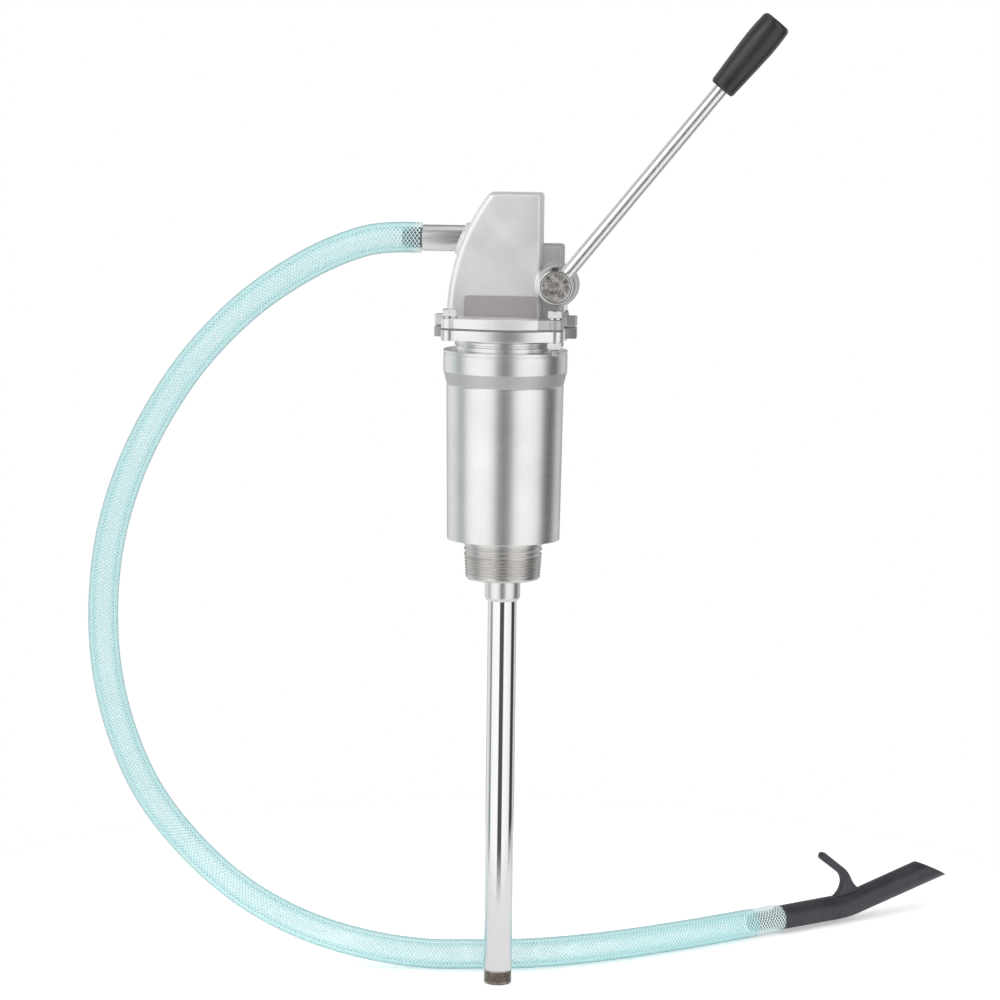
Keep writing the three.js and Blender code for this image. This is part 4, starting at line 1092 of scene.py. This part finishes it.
for number, (x, y) in enumerate(BOLTS, 1):
    for kind, maker in (("bolt", bolt_mesh), ("nut", nut_mesh), ("washer", washer_mesh)):
        node = f"flange_{kind}_{number}"
        if node not in NODES:
            continue  # the front left bolt is screwed into its ear and has no nut
        stand_for(maker(node, x, y), node, "casing", "zinc_fasteners")

# ---------- lever ----------

BOX_FACES = [(0, 1, 3, 2), (4, 6, 7, 5), (0, 4, 5, 1), (2, 3, 7, 6), (0, 2, 6, 4), (1, 5, 7, 3)]
LEVER_ANGLE = math.radians(51)
HUB_FRONT = -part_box("lever_hub")[0].y / MM
HUB_BACK = -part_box("lever_hub")[1].y / MM
SHAFT_PLACE = Matrix.Translation(PIVOT) @ Matrix.Rotation(math.pi / 2, 4, "X")
LEVER_PLACE = (
    Matrix.Translation((PIVOT.x, -(HUB_FRONT + HUB_BACK) / 2 * MM, PIVOT.z))
    @ Matrix.Rotation(math.pi / 2 - LEVER_ANGLE, 4, "Y")
)
ROD_SEAT = 8
GRIP_START = 185
GRIP_LENGTH = 63
SLOT_X = (-4.2, 1.6)
SLOT_Z = (10.7, 13.4)
HUB_ANGLE = 32


def hub_mesh():
    body = [
        (0, HUB_BACK),
        (12.4, HUB_BACK, 0.8),
        (12.4, HUB_FRONT, 1.2),
        (10.4, HUB_FRONT, 0.4),
        (10.2, HUB_FRONT - 1.6, 0.5),
        (0, HUB_FRONT - 1.6),
    ]
    made = turned("lever_hub_fine", body, SHAFT_PLACE, sides=96)
    bore = [(0, HUB_BACK - 2), (7.12, HUB_BACK - 2), (7.12, 53.6), (0, 53.6)]
    boolean(made, turned("bore", bore, SHAFT_PLACE, sides=64, radius=0), "DIFFERENCE")
    socket = [(0, ROD_SEAT - 0.2), (5.15, ROD_SEAT - 0.2), (5.15, 30), (0, 30)]
    boolean(made, turned("socket", socket, LEVER_PLACE, sides=48, radius=0), "DIFFERENCE")
    screw = [(0, -20), (2.65, -20), (2.65, -5), (0, -5)]
    boolean(made, turned("screw", screw, LEVER_PLACE, sides=32, radius=0), "DIFFERENCE")
    depths = (HUB_BACK - 1, HUB_FRONT + 1)
    corners = [(x, -y, z) for x in SLOT_X for y in depths for z in SLOT_Z]
    place = Matrix.Translation(PIVOT)
    slot = add_mesh("oil_slot", placed([Vector(c) * MM for c in corners], place), BOX_FACES)
    boolean(made, slot, "DIFFERENCE")
    tidy(made, HUB_ANGLE)
    return made


def rod_mesh():
    body = [(0, ROD_SEAT), (5, ROD_SEAT, 0.3), (5, GRIP_START + 48, 0.3), (0, GRIP_START + 48)]
    return turned("lever_rod_fine", body, LEVER_PLACE, sides=64)


def grip_mesh():
    end = GRIP_START + GRIP_LENGTH
    body = [
        (5.15, GRIP_START, 0.3),
        (8.6, GRIP_START, 0.8),
        (9.6, GRIP_START + 1.8, 0.8),
        (10.3, GRIP_START + 14, 30),
        (11.2, GRIP_START + 30, 40),
        (11.75, GRIP_START + 42, 40),
        (11.6, GRIP_START + 52, 20),
        (11.1, end - 2.6, 2.4),
        (9.2, end - 0.3, 2.4),
        (0, end - 0.1),
        (0, GRIP_START + 48.2),
        (5.15, GRIP_START + 48.2, 0.2),
    ]
    return turned("lever_grip_fine", body, LEVER_PLACE, sides=80)


stand_for(hub_mesh(), "lever_hub", "lever", "cast_aluminium", HUB)
stand_for(rod_mesh(), "lever_rod", "lever", "chromed_steel", DRAWN)
stand_for(grip_mesh(), "lever_grip", "lever", "grip")

# ---------- floor and light ----------


FLOOR_SIDES = 96


def make_floor():
    points = [(FLOOR_CENTRE.x, FLOOR_CENTRE.y, LOW)]
    for k in range(FLOOR_SIDES):
        turn = 2 * math.pi * k / FLOOR_SIDES
        x, y = FLOOR_REACH * math.cos(turn), FLOOR_REACH * math.sin(turn)
        points.append((FLOOR_CENTRE.x + x, FLOOR_CENTRE.y + y, LOW))
    faces = [(0, 1 + k, 1 + (k + 1) % FLOOR_SIDES) for k in range(FLOOR_SIDES)]
    floor = add_mesh("floor", points, faces)
    dress(floor, floor_paper())


def add_light(name, place, aim, width, height, power):
    data = bpy.data.lights.new(name, "AREA")
    data.shape = "RECTANGLE"
    data.size = width
    data.size_y = height
    data.energy = power
    light = bpy.data.objects.new(name, data)
    light.location = place
    light.rotation_euler = (Vector(place) - Vector(aim)).to_track_quat("Z", "Y").to_euler()
    scene.collection.objects.link(light)


# Brightness of the room by compass direction, from -X round by the camera's side and +X, as polished
# metal mirrors it: dark behind the camera and a dark flag on each side. They suit the photo's view.
SKY_STRENGTH = 1.14
SKY_BANDS = [
    (0.0, 0.25),
    (0.02, 0.25),
    (0.045, 0.95),
    (0.205, 1.0),
    (0.22, 0.08),
    (0.3, 0.08),
    (0.316, 1.0),
    (0.47, 0.85),
    (0.497, 0.05),
    (0.575, 0.05),
    (0.6, 0.62),
    (0.67, 0.62),
    (0.69, 0.3),
    (0.83, 0.3),
    (0.85, 0.75),
    (0.95, 0.75),
    (0.98, 0.25),
    (1.0, 0.25),
]
OVERHEAD = 0.3  # how bright the room is straight above, against its sides


def make_sky():
    """White where it is seen directly, and banded as polished metal mirrors it."""
    world = bpy.data.worlds.new("studio")
    world.use_nodes = True
    scene.world = world
    tree = world.node_tree
    background = tree.nodes["Background"]
    source = tree.nodes.new("ShaderNodeTexCoord")
    split = tree.nodes.new("ShaderNodeSeparateXYZ")
    turn = tree.nodes.new("ShaderNodeMath")
    turn.operation = "ARCTAN2"
    share = tree.nodes.new("ShaderNodeMapRange")
    share.inputs["From Min"].default_value = -math.pi
    share.inputs["From Max"].default_value = math.pi
    ramp = tree.nodes.new("ShaderNodeValToRGB")
    elements = ramp.color_ramp.elements
    while len(elements) < len(SKY_BANDS):
        elements.new(0.5)
    for element, (position, value) in zip(elements, SKY_BANDS):
        element.position = position
        element.color = (value, value, value, 1)
    upward = tree.nodes.new("ShaderNodeMapRange")
    upward.inputs["From Min"].default_value = 0.5
    upward.inputs["From Max"].default_value = 0.75
    upward.inputs["To Min"].default_value = 1.0
    upward.inputs["To Max"].default_value = OVERHEAD
    shade = tree.nodes.new("ShaderNodeVectorMath")
    shade.operation = "SCALE"
    rays = tree.nodes.new("ShaderNodeLightPath")
    direct = tree.nodes.new("ShaderNodeMath")
    direct.operation = "MAXIMUM"
    seen = tree.nodes.new("ShaderNodeMath")
    seen.operation = "MAXIMUM"
    mix = tree.nodes.new("ShaderNodeMix")
    mix.data_type = "RGBA"
    first, second = [each for each in mix.inputs if each.type == "RGBA"][:2]
    white = 1 / SKY_STRENGTH
    second.default_value = (white, white, white, 1)
    tree.links.new(source.outputs["Generated"], split.inputs["Vector"])
    tree.links.new(split.outputs["Y"], turn.inputs[0])
    tree.links.new(split.outputs["X"], turn.inputs[1])
    tree.links.new(turn.outputs[0], share.inputs["Value"])
    tree.links.new(share.outputs["Result"], ramp.inputs["Fac"])
    tree.links.new(rays.outputs["Is Camera Ray"], seen.inputs[0])
    tree.links.new(rays.outputs["Is Transmission Ray"], seen.inputs[1])
    tree.links.new(seen.outputs[0], direct.inputs[0])
    tree.links.new(rays.outputs["Is Diffuse Ray"], direct.inputs[1])
    tree.links.new(direct.outputs[0], mix.inputs["Factor"])
    tree.links.new(split.outputs["Z"], upward.inputs["Value"])
    tree.links.new(ramp.outputs["Color"], shade.inputs[0])
    tree.links.new(upward.outputs["Result"], shade.inputs["Scale"])
    tree.links.new(shade.outputs["Vector"], first)
    tree.links.new([each for each in mix.outputs if each.type == "RGBA"][0], background.inputs["Color"])
    background.inputs["Strength"].default_value = SKY_STRENGTH


make_floor()
add_light("key", (-1.4, -1.8, 1.8), (0, 0, 0), 1.4, 1.4, 8)
add_light("fill", (1.8, -1.2, 1.2), (0, 0, 0), 1.2, 1.6, 3)
add_light("top", (0.1, 0.2, 2.2), (0, 0, 0), 1.6, 1.6, 6)
make_sky()
scene.view_settings.view_transform = "Standard"
scene.view_settings.look = "None"
